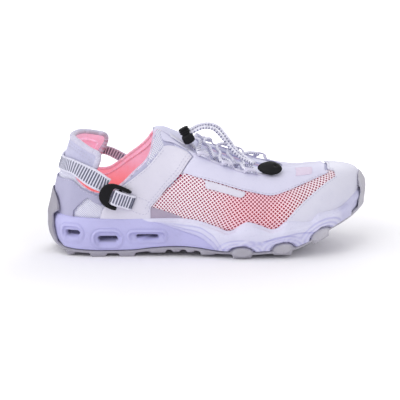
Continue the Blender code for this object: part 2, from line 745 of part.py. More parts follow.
def heel_strap():
    """Webbing round the heel that crosses the notches, lifted over the inner band at its end."""
    low = [*reversed(STRAP_LOW), *across_heel(INNER_STRAP_LOW)[::-1][1:]]
    outline = [*STRAP_TOP, *low, *across_heel(INNER_STRAP_TOP)[:-1]]

    def lift(round_):
        return OVERLAY_GAP + (OVERLAY + OVERLAY_GAP) * share_of(round_, *STRAP_CLIMB)

    mesh = sheet(
        outline,
        lambda round_, rise: on_upper(round_, rise, lift(round_)),
        lambda round_, rise: on_upper(round_, rise, lift(round_) + WEBBING),
        COLUMNS,
        LEVELS,
    )
    finish(mesh, "heel_strap", "webbing")


# The buckle stands flat on the outer side: its own axes are forward along the strap, up across
# it, and out from the shoe, in millimetres from its middle.
BUCKLE_AT = (2.65, 0.40)
BUCKLE_TOWARDS = (3.20, 0.25)
BUCKLE_LOW, BUCKLE_HIGH = 3.4, 6.2
BUCKLE_EDGE = [
    *smooth([
        (12.5, 7.9), (11.6, 9.7), (2, 10.6), (-4.6, 9.7), (-9.8, 6), (-11.6, 0), (-9.8, -6),
        (-4.6, -9.7), (2, -10.6), (6, -9.9),
    ]),
    *smooth([(6, -7.3), (1.5, -7.3), (-1.6, -6.6)], 2),
    *smooth([(-2.2, -3.6), (-2.2, 3.6)], 2),
    *smooth([(-1.6, 6.6), (2, 7.3), (11, 7.0)], 2),
]
BAR = ((2.6, 5.0), (3.8, 5.6))
BAR_REACH = 8.8
TAB_PATH = [
    (17.5, 2.5), (12, 2.5), (7, 2.5), (2.6, 2.3), (0.7, 3.0), (0.1, 4.7), (0.7, 6.4), (2.6, 7.0),
    (6, 6.6), (11, 4.8), (16, 3.9),
]
TAB_HALF = 6.3
TAB = 1.1


def buckle_frame():
    middle = on_upper(*BUCKLE_AT, 0)
    out = upper_normal(*BUCKLE_AT)
    forward = on_upper(*BUCKLE_TOWARDS, 0) - middle
    forward = (forward - out * forward.dot(out)).normalized()
    frame = Matrix((forward, out.cross(forward), out)).transposed().to_4x4()
    return Matrix.Translation(middle) @ frame


def prism(edge, low, high):
    """A flat outline drawn out between two heights."""
    mesh = bmesh.new()
    face = mesh.faces.new([mesh.verts.new((*point, low)) for point in edge])
    grown = bmesh.ops.extrude_face_region(mesh, geom=[face], use_keep_orig=True)
    moved = [part for part in grown["geom"] if isinstance(part, bmesh.types.BMVert)]
    bmesh.ops.translate(mesh, vec=(0, 0, high - low), verts=moved)
    return mesh


def buckle():
    frame = buckle_frame()
    body = prism(BUCKLE_EDGE, BUCKLE_LOW, BUCKLE_HIGH)
    (bar_from, bar_to), (bar_low, bar_high) = BAR
    ends = [(bar_from, -BAR_REACH), (bar_to, -BAR_REACH), (bar_to, BAR_REACH), (bar_from, BAR_REACH)]
    bar = prism(ends, bar_low, bar_high)
    for mesh in (body, bar):
        bmesh.ops.transform(mesh, matrix=frame, verts=mesh.verts)
    made = finish(body, "buckle", "black_plastic")
    combine(made, finish(bar, "buckle_bar", None), "UNION")


def buckle_tab():
    """A strip of webbing that is sewn to the side band and goes round the buckle's bar."""
    path = [Vector(point) for point in smooth(TAB_PATH, 2)]
    sides = []
    for i, point in enumerate(path):
        step = path[min(i + 1, len(path) - 1)] - path[max(i - 1, 0)]
        side = Vector((-step.y, step.x)).normalized() * (TAB / 2)
        sides.append((point + side, point - side))
    edge = [pair[0] for pair in sides] + [pair[1] for pair in reversed(sides)]
    mesh = prism(edge, -TAB_HALF, TAB_HALF)
    turn = Matrix(((1, 0, 0, 0), (0, 0, 1, 0), (0, 1, 0, 0), (0, 0, 0, 1)))
    bmesh.ops.transform(mesh, matrix=buckle_frame() @ turn, verts=mesh.verts)
    finish(mesh, "buckle_tab", "webbing")


def tube(name, points, diameter, look):
    """A cord along a smooth curve through the points, as a curve in metres."""
    curve = bpy.data.curves.new(name, "CURVE")
    curve.dimensions = "3D"
    curve.bevel_depth = diameter / 2 * MILLIMETRE
    curve.bevel_resolution = 1
    curve.use_fill_caps = True
    spline = curve.splines.new("POLY")
    spline.points.add(len(points) - 1)
    for knot, point in zip(spline.points, points):
        knot.co = (*(coordinate * MILLIMETRE for coordinate in point), 1)
    curve.materials.append(material(look))
    made = bpy.data.objects.new(name, curve)
    bpy.context.scene.collection.objects.link(made)


# The lace's zigzag over the tongue: round, and place across the throat from -1 to 1
LACE_ROUTE = [
    (5.06, -0.45), (5.20, -0.75), (5.19, -0.98), (5.04, -1.095), (5.32, -1.10), (5.37, -0.95), (5.40, -0.6),
    (5.42, 0.0), (5.28, 0.6), (5.16, 0.95), (5.10, 1.08), (5.38, 1.10), (5.48, 0.9), (5.58, 0.5),
    (5.72, 0.0), (5.86, -0.5), (5.89, -0.85), (5.82, -1.03), (5.70, -1.115), (5.98, -1.125), (6.05, -0.98),
    (6.06, -0.7), (6.08, 0.0), (6.0, 0.6), (5.92, 0.95), (5.90, 1.09), (6.18, 1.11), (6.28, 0.9),
    (6.38, 0.4), (6.50, -0.2), (6.58, -0.7), (6.48, -1.0), (6.29, -1.14), (6.52, -1.15), (6.68, -1.0),
    (6.76, -0.7), (6.80, 0.0), (6.76, 0.6), (6.72, 0.98),
]
LACE_LIFT = 2.6
LACE_OVER = OVERLAY_GAP + OVERLAY + LACE / 2 + 1.1
LACE_PAST = 1.6
LACE_FLAT = 4


def lace_point(round_, across):
    """A point of the lace: over the tongue in the throat, and over the eyestay at its edges."""
    place = round_ if across < 0 else ROUNDS - round_
    past = max(abs(across) - 1, 0)
    if past:
        return on_upper(place, 1 - past * LACE_PAST, LACE_OVER)
    share = abs(across) ** LACE_FLAT
    lift = upper_normal(place, 1.0) * (LACE_OVER + TONGUE_CLEAR)
    return throat_point(round_, across, LACE_LIFT * (1 - share)) + lift * share


def lace_crossings():
    tube("lace_crossings", [lace_point(*place) for place in smooth(LACE_ROUTE, 2)], LACE, "lace_cord")


# Lock and keeper on the lace, and the two free runs between them
LOCK_FOOT, LOCK_HEAD = (-13.2, -17.2, 91.6), (-19.4, -17.7, 104)
LOCK_BODY, LOCK_BUTTON = 4.9, 3.8
BODY_TO, BUTTON_FROM, LOCK_TAPER = 0.55, 0.4, 0.94
KEEPER_AT = (51, -29.3, 71.8)
KEEPER_HALF = (10, 6.8, 2.6)
KEEPER_TILT, KEEPER_LEAN, KEEPER_NARROW = 0.05, 0.75, 0.15
LOOP_OUTER = [
    (-11.2, -14, 103), (-6, -10.5, 104.8), (0, -8.5, 105.5), (6.5, -8, 104.5), (12.5, -8.5, 100),
    (19.8, -11, 90.3), (25, -14, 83.6), (35.2, -21, 76.6), (38.8, -24.2, 75.3),
]
LOOP_INNER = [
    (-9.5, -18, 101.5), (-4, -16.5, 103.6), (0, -15.5, 103.8), (6.5, -15, 102), (14, -15.5, 94),
    (19.8, -17, 86.5), (27, -20, 79.8), (33, -23.4, 77), (37.5, -28, 75.4),
]


def cord_lock():
    foot, head = Vector(LOCK_FOOT), Vector(LOCK_HEAD)
    turn = (head - foot).to_track_quat("Z", "Y").to_matrix().to_4x4()
    length = (head - foot).length

    def barrel(radius, start, end):
        mesh = bmesh.new()
        bmesh.ops.create_cone(
            mesh, cap_ends=True, segments=20, radius1=radius, radius2=radius * LOCK_TAPER, depth=end - start
        )
        place = Matrix.Translation(foot) @ turn @ Matrix.Translation((0, 0, (start + end) / 2))
        bmesh.ops.transform(mesh, matrix=place, verts=mesh.verts)
        return mesh

    made = finish(barrel(LOCK_BODY, 0, length * BODY_TO), "cord_lock", "black_plastic")
    button = barrel(LOCK_BUTTON, length * BUTTON_FROM, length)
    combine(made, finish(button, "lock_button", None), "UNION")


def lace_keeper():
    """An oval bead that narrows towards the cords."""
    mesh = bmesh.new()
    bmesh.ops.create_uvsphere(mesh, u_segments=16, v_segments=8, radius=1)
    half = Vector(KEEPER_HALF)
    lean = Matrix.Rotation(KEEPER_TILT, 4, "Y") @ Matrix.Rotation(KEEPER_LEAN, 4, "X")
    for vert in mesh.verts:
        narrow = 1 + KEEPER_NARROW * min(vert.co.x, 0)
        shaped = Vector((vert.co.x * half.x, vert.co.y * half.y * narrow, vert.co.z * half.z))
        vert.co = Vector(KEEPER_AT) + lean @ shaped
    finish(mesh, "lace_keeper", "black_plastic")


def lace():
    lace_crossings()
    cord_lock()
    lace_keeper()
    tube("lace_loop_outer", smooth(LOOP_OUTER, 3), LACE, "lace_cord")
    tube("lace_loop_inner", smooth(LOOP_INNER, 3), LACE, "lace_cord")


def main():
    clear_scene()
    outsole()
    midsole()
    insole()
    upper()
    tongue()
    overlays()
    heel_strap()
    buckle()
    buckle_tab()
    lace()


main()
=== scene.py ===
# %% [markdown]
# A closed-toe hiking sandal for the right foot, dressed round its imported solids. The frame is loaded
# first, and each solid's placing is applied to its own mesh. Nothing that is added here may change the
# size of the shoe.
# %% Load the frame
from math import atan2, ceil, cos, floor, pi, radians, sin, tau

import bmesh
import bpy
import numpy as np
from mathutils import Matrix, Vector


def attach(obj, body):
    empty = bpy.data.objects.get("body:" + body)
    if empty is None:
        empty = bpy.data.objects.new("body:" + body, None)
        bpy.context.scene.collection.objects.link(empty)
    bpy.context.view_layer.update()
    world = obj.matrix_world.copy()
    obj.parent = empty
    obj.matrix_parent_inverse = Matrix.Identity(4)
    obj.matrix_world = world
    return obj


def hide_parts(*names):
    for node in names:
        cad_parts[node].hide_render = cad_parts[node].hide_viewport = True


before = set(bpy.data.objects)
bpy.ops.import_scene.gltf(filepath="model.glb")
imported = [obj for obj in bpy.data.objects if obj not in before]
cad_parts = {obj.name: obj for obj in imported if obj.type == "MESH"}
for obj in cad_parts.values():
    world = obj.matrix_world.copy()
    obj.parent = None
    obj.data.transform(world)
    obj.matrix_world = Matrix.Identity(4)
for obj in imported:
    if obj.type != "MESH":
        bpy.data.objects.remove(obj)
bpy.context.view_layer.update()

MILLIMETRE = 0.001

# %% [markdown]
# The picture is a long-lens view of the outer side from a little above the floor. A camera could be
# turned by angles alone, but aiming it at a point inside the shoe keeps the framing plain: the aim,
# the height of the view, its distance and a small roll are the only numbers.
# %% Camera
AIM = Vector((-0.006, 0.0, 0.0395))
ELEVATION, DISTANCE, ROLL = radians(12.5), 0.9375, radians(-0.7)
LENS, SENSOR = 100, 36


def placed(name, data):
    """A new object in the scene."""
    thing = bpy.data.objects.new(name, data)
    bpy.context.scene.collection.objects.link(thing)
    return thing


camera = placed("camera", bpy.data.cameras.new("camera"))
camera.data.lens, camera.data.sensor_width = LENS, SENSOR
back = Vector((0, -cos(ELEVATION), sin(ELEVATION)))
turn = (-back).to_track_quat("-Z", "Y").to_matrix().to_4x4()
camera.matrix_world = Matrix.Translation(AIM + back * DISTANCE) @ turn @ Matrix.Rotation(ROLL, 4, "Z")
bpy.context.scene.camera = camera
print("camera at", [round(part, 3) for part in camera.location])

# %% [markdown]
# Materials come before the pieces, since each piece names its finish when it is made. A helper adds a
# node, and links an input where it is given a socket or sets it where it is given a number.
# %% Node helpers
def put(tree, kind, settings=None, **inputs):
    """Adds a node. Inputs are named with spaces as underscores, or in_0, in_1 for sockets by place."""
    made = tree.nodes.new(kind)
    for name, value in (settings or {}).items():
        setattr(made, name, value)
    for name, value in inputs.items():
        socket = made.inputs[int(name[3:]) if name.startswith("in_") else name.replace("_", " ")]
        if isinstance(value, bpy.types.NodeSocket):
            tree.links.new(value, socket)
        else:
            socket.default_value = value
    return made


def sums(tree, operation, first, second=0.0, third=0.0):
    made = put(tree, "ShaderNodeMath", {"operation": operation}, in_0=first, in_1=second, in_2=third)
    return made.outputs[0]


def split(tree, vector):
    """The three parts of a vector."""
    return put(tree, "ShaderNodeSeparateXYZ", in_0=vector).outputs


def wave(tree, value, length):
    """A sine of a value, with one full turn for each length."""
    return sums(tree, "SINE", sums(tree, "MULTIPLY", value, tau / length))


def as_share(tree, value):
    """A wave between -1 and 1, moved to lie between 0 and 1."""
    return sums(tree, "MULTIPLY_ADD", value, 0.5, 0.5)


def mixed(tree, share, first, second):
    """A blend of two colours."""
    made = put(tree, "ShaderNodeMix", {"data_type": "RGBA"}, in_0=share, in_6=first, in_7=second)
    return made.outputs[2]


def ramped(tree, value, low, high):
    """The value drawn out so that low gives 0 and high gives 1, with soft ends."""
    soft = {"interpolation_type": "SMOOTHSTEP"}
    made = put(tree, "ShaderNodeMapRange", soft, Value=value, From_Min=low, From_Max=high)
    return made.outputs["Result"]


def paint(red, green, blue):
    """A colour picked on screen, 0 to 255, as the light values that a shader takes."""
    parts = [value / 255 for value in (red, green, blue)]
    return (*(part / 12.92 if part < 0.04 else ((part + 0.055) / 1.055) ** 2.4 for part in parts), 1)


def new_group(name, inputs, outputs):
    """An empty node group with named sockets."""
    group = bpy.data.node_groups.new(name, "ShaderNodeTree")
    for way, sockets in (("INPUT", inputs), ("OUTPUT", outputs)):
        for label, kind in sockets:
            group.interface.new_socket(label, in_out=way, socket_type="NodeSocket" + kind)
    return group, group.nodes.new("NodeGroupInput").outputs, group.nodes.new("NodeGroupOutput").inputs

# %% [markdown]
# Three effects serve nearly every finish. "Handling" shifts a colour in soft patches and adds fine dust,
# so no surface is one flat colour. "Weave" raises threads over and under along the cloth's own two
# directions. "Netting" gives the holes of a small knitted net, charted as rows of shifted dots.
# %% Shared effects
PATCH_SCALE, DUST_SCALE = 42.0, 620.0
PATCH_EDGE, DUST_EDGE, HOLE_EDGE = (0.42, 0.72), (0.55, 0.80), (0.10, 0.55)


def make_handling():
    group, given, out = new_group(
        "handling",
        [("Color", "Color"), ("Soil", "Color"), ("Place", "Vector"), ("Tone", "Float")],
        [("Color", "Color"), ("Patch", "Float")],
    )
    patch, dust = (
        put(group, "ShaderNodeTexNoise", Vector=given["Place"], Scale=scale, Detail=detail).outputs[0]
        for scale, detail in ((PATCH_SCALE, 3.0), (DUST_SCALE, 2.0))
    )
    both = sums(group, "ADD", ramped(group, patch, *PATCH_EDGE), ramped(group, dust, *DUST_EDGE))
    share = sums(group, "MULTIPLY", both, given["Tone"])
    group.links.new(mixed(group, share, given["Color"], given["Soil"]), out["Color"])
    group.links.new(patch, out["Patch"])
    return group


def make_waves(name, shape, result, shaped):
    """A group in which two waves across the cloth are multiplied, and the product is shaped."""
    group, given, out = new_group(name, [("Cloth", "Vector"), ("Pitch", "Float")], [(result, "Float")])
    rate = sums(group, "DIVIDE", tau, given["Pitch"])
    turns = [sums(group, "MULTIPLY", part, rate) for part in split(group, given["Cloth"])[:2]]
    product = sums(group, "MULTIPLY", *(sums(group, shape, turn_) for turn_ in turns))
    group.links.new(shaped(group, product), out[result])
    return group


HANDLING, WEAVE = make_handling(), make_waves("weave", "SINE", "Height", as_share)
NETTING = make_waves("netting", "COSINE", "Hole", lambda tree, value: ramped(tree, value, *HOLE_EDGE))
print("effects:", HANDLING.name, WEAVE.name, NETTING.name)

# %% [markdown]
# Each finish starts from the same base: a shader, its colour passed through "handling", and a bump
# whose height comes from the grain of that material. What differs is passed in, so a new finish is a
# few words long. Colours are picked from the photograph, one for each material.
# %% Finish base
GLOW_ENDS, ROUGH_SPREAD = (-0.045, -0.015), 0.08


def group_node(tree, group, **inputs):
    return put(tree, "ShaderNodeGroup", {"node_tree": group}, **inputs).outputs


def finish(name, colour, soil, roughness, bump, grain, tone=0.25, sheen=0.0, shine=0.5, painted_glow=0.0,
           lit=GLOW_ENDS):
    """A material. colour is picked on screen or, like the grain's height, a function of tree, cloth and
    place. The glow is painted light: a share of its colour given off as if lit through thin cloth, fading
    between the lit places."""
    made = bpy.data.materials.new(name)
    made.use_nodes = True
    tree = made.node_tree
    shader = tree.nodes["Principled BSDF"]
    place = put(tree, "ShaderNodeTexCoord").outputs["Object"]
    cloth = put(tree, "ShaderNodeAttribute", {"attribute_name": "cloth"}).outputs["Vector"]
    base = colour(tree, cloth, place) if callable(colour) else paint(*colour)
    worn = group_node(tree, HANDLING, Color=base, Soil=paint(*soil), Place=place, Tone=tone)
    tree.links.new(worn["Color"], shader.inputs["Base Color"])
    ends = {"To_Min": roughness - ROUGH_SPREAD, "To_Max": roughness + ROUGH_SPREAD}
    rough = put(tree, "ShaderNodeMapRange", Value=worn["Patch"], **ends)
    tree.links.new(rough.outputs["Result"], shader.inputs["Roughness"])
    height = grain(tree, cloth, place)
    lifted = put(tree, "ShaderNodeBump", Strength=bump, Distance=MILLIMETRE, Height=height)
    tree.links.new(lifted.outputs["Normal"], shader.inputs["Normal"])
    shader.inputs["Sheen Weight"].default_value = sheen
    shader.inputs["Specular IOR Level"].default_value = shine
    # painted light: the cloth gives off part of its own colour as a glow
    if painted_glow:
        faded = ramped(tree, split(tree, place)[0], *lit)
        tree.links.new(mixed(tree, faded, worn["Color"], (0, 0, 0, 1)), shader.inputs["Emission Color"])
        shader.inputs["Emission Strength"].default_value = painted_glow
    return made


def speckle(scale):
    def grain(tree, cloth, place):
        return put(tree, "ShaderNodeTexNoise", Vector=place, Scale=scale, Detail=4.0).outputs[0]

    return grain


def woven(pitch):
    return lambda tree, cloth, place: group_node(tree, WEAVE, Cloth=cloth, Pitch=pitch)["Height"]


def holes(tree, cloth, pitch):
    return group_node(tree, NETTING, Cloth=cloth, Pitch=pitch)["Hole"]


def netted(pitch):
    return lambda tree, cloth, place: sums(tree, "SUBTRACT", 1.0, holes(tree, cloth, pitch))

# %% [markdown]
# The cloths: a smooth knit for the shell, coral jersey for the lining, a red-pink backing that shows
# through the net, a fine net with its holes in the material because they are under a millimetre, and
# black and white webbing whose stripes cross the strap between plain edges.
# %% Cloth finishes
FINE_PITCH, STRIPE = 2.3, 2.35
# where colours change: metres ahead of the middle or of height, waves, and shares of the webbing's width
BACKING_AHEAD, BACKING_LOW, LINING_PALES = (-0.030, 0.045), (0.066, 0.036), (0.042, 0.074)
NET_AHEAD, NET_PAST, NET_FADES, NET_CORAL = (-0.010, 0.035), (0.085, 0.045), (0.068, 0.050), 0.55
BAR_EDGE, PLAIN_EDGE = (-0.45, 0.05), (0.40, 0.36)


def fine_tint(tree, cloth, place):
    """Grey holes in a pale ground."""
    return mixed(tree, holes(tree, cloth, FINE_PITCH), paint(231, 230, 243), paint(172, 174, 206))


def backing_tint(tree, cloth, place):
    """Pink at the waist and under the eyestay, red towards the ball of the foot."""
    forward, _, height = split(tree, place)
    ahead, low = ramped(tree, forward, *BACKING_AHEAD), ramped(tree, height, *BACKING_LOW)
    share = sums(tree, "MULTIPLY", ahead, low)
    return mixed(tree, share, paint(168, 48, 90), paint(172, 24, 50))


def lining_tint(tree, cloth, place):
    """Orange-red low inside the shoe, paling to pink at the collar."""
    height = split(tree, place)[2]
    return mixed(tree, ramped(tree, height, *LINING_PALES), paint(248, 144, 144), paint(242, 196, 222))


def net_tint(tree, cloth, place):
    """White threads that take up the coral of the backing at the ball of the foot."""
    forward, _, height = split(tree, place)
    near = sums(tree, "MULTIPLY", ramped(tree, forward, *NET_AHEAD), ramped(tree, forward, *NET_PAST))
    share = sums(tree, "MULTIPLY", near, ramped(tree, height, *NET_FADES))
    return mixed(tree, sums(tree, "MULTIPLY", share, NET_CORAL), paint(255, 238, 246), paint(255, 168, 184))


def stripe_tint(tree, cloth, place):
    """Dark bars across the webbing, and plain white along both edges."""
    run, across, _ = split(tree, cloth)
    from_middle = sums(tree, "ABSOLUTE", sums(tree, "SUBTRACT", across, 0.5))
    dark = ramped(tree, wave(tree, run, STRIPE), *BAR_EDGE)
    bars = sums(tree, "MULTIPLY", dark, ramped(tree, from_middle, *PLAIN_EDGE))
    return mixed(tree, bars, paint(228, 227, 243), paint(96, 98, 120))


def stripe_grain(tree, cloth, place):
    return as_share(tree, wave(tree, split(tree, cloth)[0], STRIPE / 2))


SHELL = finish("shell_knit", (194, 193, 220), (168, 167, 198), 0.85, 0.25, woven(1.1), sheen=0.2)
# The coral lining, the throat knit and the soft pink edge glow a little: painted light that lifts the shade
# inside the shoe
LINING = finish("coral_lining", lining_tint, (236, 120, 136), 0.8, 0.3, woven(0.9), sheen=0.2, painted_glow=0.3)
THROAT = finish(
    "throat_knit", (226, 224, 242), (196, 194, 220), 0.85, 0.2, woven(1.1), painted_glow=0.35, lit=(0.08, 0.10)
)
SOFT_EDGE = finish("soft_edge", (246, 196, 216), (232, 168, 192), 0.8, 0.25, woven(0.9), painted_glow=0.12)
BACKING = finish("vamp_backing", backing_tint, (150, 40, 60), 0.85, 0.2, woven(0.8))
FINE_NET = finish("fine_net", fine_tint, (186, 186, 212), 0.85, 0.5, netted(FINE_PITCH), tone=0.15)
NET_THREAD = finish("net_thread", net_tint, (240, 206, 222), 0.8, 0.2, speckle(1800), tone=0.15)
RIM_CLOTH = finish("rim_cloth", (206, 203, 224), (184, 182, 206), 0.85, 0.25, woven(0.9), sheen=0.3)
TONGUE_KNIT = finish("tongue_knit", (222, 222, 244), (192, 192, 222), 0.85, 0.35, woven(1.5), sheen=0.2)
STRIPED = finish("striped_webbing", stripe_tint, (190, 190, 208), 0.8, 0.4, stripe_grain)
THREAD = finish("thread", (200, 198, 218), (172, 171, 194), 0.7, 0.2, speckle(3000))
cloths = (SHELL, LINING, BACKING, FINE_NET, NET_THREAD, RIM_CLOTH, TONGUE_KNIT)
print("cloths:", [made.name for made in cloths])

# %% [markdown]
# The films, foams, rubber and plastic. Films have a faint leather-like grain and a soft gloss. The
# midsole takes its two tones, and painted shade in its slots, grooves and facets, from masks that its
# own mesh carries, since the line between the tones is also a step in the foam.
# %% Film, foam, rubber and plastic
RUBBER_PALES = (-0.03, 0.10)  # metres ahead of the middle


def foam_tint(tree, cloth, place):
    """The midsole's cloth attribute holds masks for the pale front, painted shade in the slots, and painted
    shade on grooves and facets.
    """
    front, slot_shade, painted_shade = split(tree, cloth)
    tones = mixed(tree, front, paint(186, 184, 228), paint(218, 217, 238))
    # painted shade: a darker violet on the grooves and facets
    shaded_tones = mixed(tree, painted_shade, tones, paint(172, 170, 218))
    # painted shade: near black in the slots
    return mixed(tree, slot_shade, shaded_tones, paint(38, 34, 74))


def rubber_tint(tree, cloth, place):
    """Mid grey at the heel, paler towards the toe."""
    forward = split(tree, place)[0]
    return mixed(tree, ramped(tree, forward, *RUBBER_PALES), paint(160, 157, 169), paint(192, 190, 199))


FILM = finish("overlay_film", (216, 214, 236), (190, 190, 217), 0.5, 0.12, speckle(1500), tone=0.2)
CAP_FILM = finish("cap_film", (221, 220, 235), (195, 195, 218), 0.5, 0.12, speckle(1300), tone=0.2)
BAND_FILM = finish("band_film", (219, 216, 231), (196, 194, 215), 0.55, 0.14, speckle(1100), tone=0.2)
COUNTER_FILM = finish("counter_film", (174, 172, 200), (148, 147, 178), 0.5, 0.12, speckle(1300))
STRIP_FILM = finish("foxing_film", (174, 161, 182), (148, 136, 158), 0.6, 0.2, speckle(1500))
VENT_FILM = finish("vent_film", (224, 210, 232), (206, 188, 214), 0.6, 0.4, netted(1.6))
FOAM = finish("midsole_foam", foam_tint, (150, 148, 186), 0.5, 0.10, speckle(2200), tone=0.18)
RUBBER = finish("outsole_rubber", rubber_tint, (132, 129, 140), 0.68, 0.2, speckle(1600), tone=0.3)
FOOTBED = finish("footbed_cloth", (240, 128, 140), (214, 98, 112), 0.85, 0.3, speckle(1900), sheen=0.2)
BLACK = finish("black_plastic", (14, 14, 18), (28, 28, 34), 0.45, 0.08, speckle(2400), shine=0.2)
print("films:", [made.name for made in (FILM, CAP_FILM, BAND_FILM, COUNTER_FILM, STRIP_FILM, VENT_FILM)])

# %% [markdown]
# Every piece of the upper is laid on the shape of the last, so its table comes next, the same one as in
# the solids. "Round" counts its rows from the heel (0) by the outer side to the toe (9) and back (18).
# "Rise" runs from the sole (0) to the opening (1). Numpy works on thousands of points in one step.
# %% The last
LAST = np.array([
    # plan x, y, inset, top x, y, z, out, up, shoulder x, y, z
    (-135, 0, 8, -113, 0, 96.3, 3.5, 25, -7, 0, -22),
    (-122, -25, 7, -106, -20, 94, 3, 24, -6, -4, -22),
    (-100, -34.5, 5.5, -88, -27.5, 86, 4, 20, -4, -5, -20),
    (-65, -36, 5.5, -62, -28, 92, 4, 24, 0, -6, -24),
    (-25, -38, 5.5, -41, -17, 103.5, 5, 26, 6, -12, -20),
    (10, -44.5, 5.5, -14, -18, 86, 5, 24, 10, -18, -2),
    (42, -48.5, 5.5, 10, -20, 74.5, 5, 22, 15, -15, 3),
    (78, -44, 5.5, 36, -19, 66, 5, 24, 24, -14, 7),
    (112, -27, 6.5, 55, -10, 66.5, 7, 28, 40, -12, 10),
    (135, 9, 8, 60, 4, 66, 11, 29, 52, 3, 6),
    (119, 37, 6.5, 56, 14, 66.5, 7, 27, 42, 16, -5),
    (88, 47.5, 5.5, 37, 20, 69.5, 5, 24, 27, 18, -1.5),
    (54, 48.5, 5.5, 11, 20, 79, 5, 23, 18, 18, 0),
    (15, 39, 5.5, -14, 20, 89.5, 4, 26, 12, 15, -3),
    (-25, 32, 5.5, -41, 18, 99.5, 4, 28, 6, 10, -20),
    (-65, 34, 5.5, -62, 28, 92, 4, 24, 0, 6, -24),
    (-100, 34.5, 5.5, -86, 27.5, 93, 4, 20, -4, 5, -20),
    (-122, 25, 7, -106, 20, 96.5, 3, 24, -6, 4, -22),
], float)
PLAN, INSET, TOP, OUT, CLIMB, SHOULDER = slice(0, 2), 2, slice(3, 6), 6, 7, slice(8, 11)
ROUNDS, TOE = len(LAST), len(LAST) / 2
PLATFORM = [
    (-135, 27), (-90, 26), (-40, 24.5), (0, 20.5), (35, 18), (65, 19.5), (90, 26), (110, 33.5), (127, 41),
]
SOLE_EDGE = [
    (-135, 35), (-123, 33.4), (-97, 32.4), (-68, 31.2), (-31, 32), (-15, 31.5), (-6, 30), (7, 26), (18, 22.5),
    (31, 30), (41, 28), (51, 24.2), (57, 25.5), (63, 30), (83, 29), (89, 34.5), (108, 37.5),
    (125, 47), (135, 49),
]
MIDSOLE_BOTTOM = [
    (-135, 20), (-130, 13), (-124, 9.5), (-115, 7.2), (-100, 6.2), (-63, 6.2), (-46, 8), (-25, 9.2),
    (-8, 8.5), (6, 6.8), (20, 6.8), (45, 7), (71, 10), (83, 14.5), (99, 23), (111, 27.5),
    (121, 31), (135, 38),
]
EDGE_LIFT, HIGHEST, HALVINGS, NUDGE = 1.0, 0.9, 22, 0.01


def along(rows, x):
    """Heights at x on a smooth curve through the rows of a table."""
    xs, zs = np.array(rows, float).T
    before, after = np.r_[0, 0:len(xs) - 1], np.r_[1:len(xs), len(xs) - 1]
    slopes = (zs[after] - zs[before]) / (xs[after] - xs[before])
    x = np.clip(x, xs[0], xs[-1])
    here = np.clip(np.searchsorted(xs, x, "right") - 1, 0, len(xs) - 2)
    width = xs[here + 1] - xs[here]
    t = (x - xs[here]) / width
    pull = slopes[here] * width * (t**3 - 2 * t**2 + t) + slopes[here + 1] * width * (t**3 - t**2)
    return zs[here] + (zs[here + 1] - zs[here]) * (3 * t**2 - 2 * t**3) + pull


def blend(p0, p1, p2, p3, t):
    bend = (2 * p0 - 5 * p1 + 4 * p2 - p3) * t**2 + (3 * p1 - p0 - 3 * p2 + p3) * t**3
    return p1 + ((p2 - p0) * t + bend) * 0.5


def last_at(round_):
    here = np.floor(round_).astype(int)
    return blend(*(LAST[(here + i) % ROUNDS] for i in (-1, 0, 1, 2)), (round_ - here)[:, None])


def unit(vectors):
    return vectors / np.maximum(np.linalg.norm(vectors, axis=1, keepdims=True), 1e-12)


def run_along(points):
    """Distances along a path from its first point."""
    return np.r_[0, np.cumsum(np.linalg.norm(np.diff(points, axis=0), axis=1))]


def plan(round_):
    return np.column_stack([last_at(round_)[:, PLAN], np.zeros(len(round_))])


def outward(round_):
    step = plan(round_ + NUDGE) - plan(round_ - NUDGE)
    return unit(np.column_stack([step[:, 1], -step[:, 0], np.zeros(len(round_))]))


def upper_foot(round_):
    foot = plan(round_) - outward(round_) * last_at(round_)[:, INSET, None]
    foot[:, 2] = along(PLATFORM, foot[:, 0]) + EDGE_LIFT
    return foot


def upper_point(round_, rise):
    """The outside of the upper, a bent wall from its foot to the edge of the opening."""
    row, foot = last_at(round_), upper_foot(round_)
    low = foot + outward(round_) * row[:, OUT, None]
    low[:, 2] += row[:, CLIMB]
    high = row[:, TOP] + row[:, SHOULDER]
    rise, fall = rise[:, None], 1 - rise[:, None]
    return foot * fall**3 + low * 3 * rise * fall**2 + high * 3 * rise**2 * fall + row[:, TOP] * rise**3


def upper_normal(round_, rise):
    across = upper_point(round_ + NUDGE, rise) - upper_point(round_ - NUDGE, rise)
    climb = upper_point(round_, rise + NUDGE) - upper_point(round_, rise - NUDGE)
    return unit(np.cross(across, climb))


def rise_where(round_, reached):
    """The rise at which a test of points first holds, found by halving."""
    low, high = np.zeros(len(round_)), np.full(len(round_), HIGHEST)
    for _ in range(HALVINGS):
        middle = (low + high) / 2
        there = reached(upper_point(round_, middle))
        low, high = np.where(there, low, middle), np.where(there, middle, high)
    return high


def sole_edge_rise(round_):
    return rise_where(round_, lambda points: points[:, 2] >= along(SOLE_EDGE, points[:, 0]))


print("last: length", np.ptp(LAST[:, 0]), "mm, ball width", np.ptp(LAST[:, 1]), "mm")

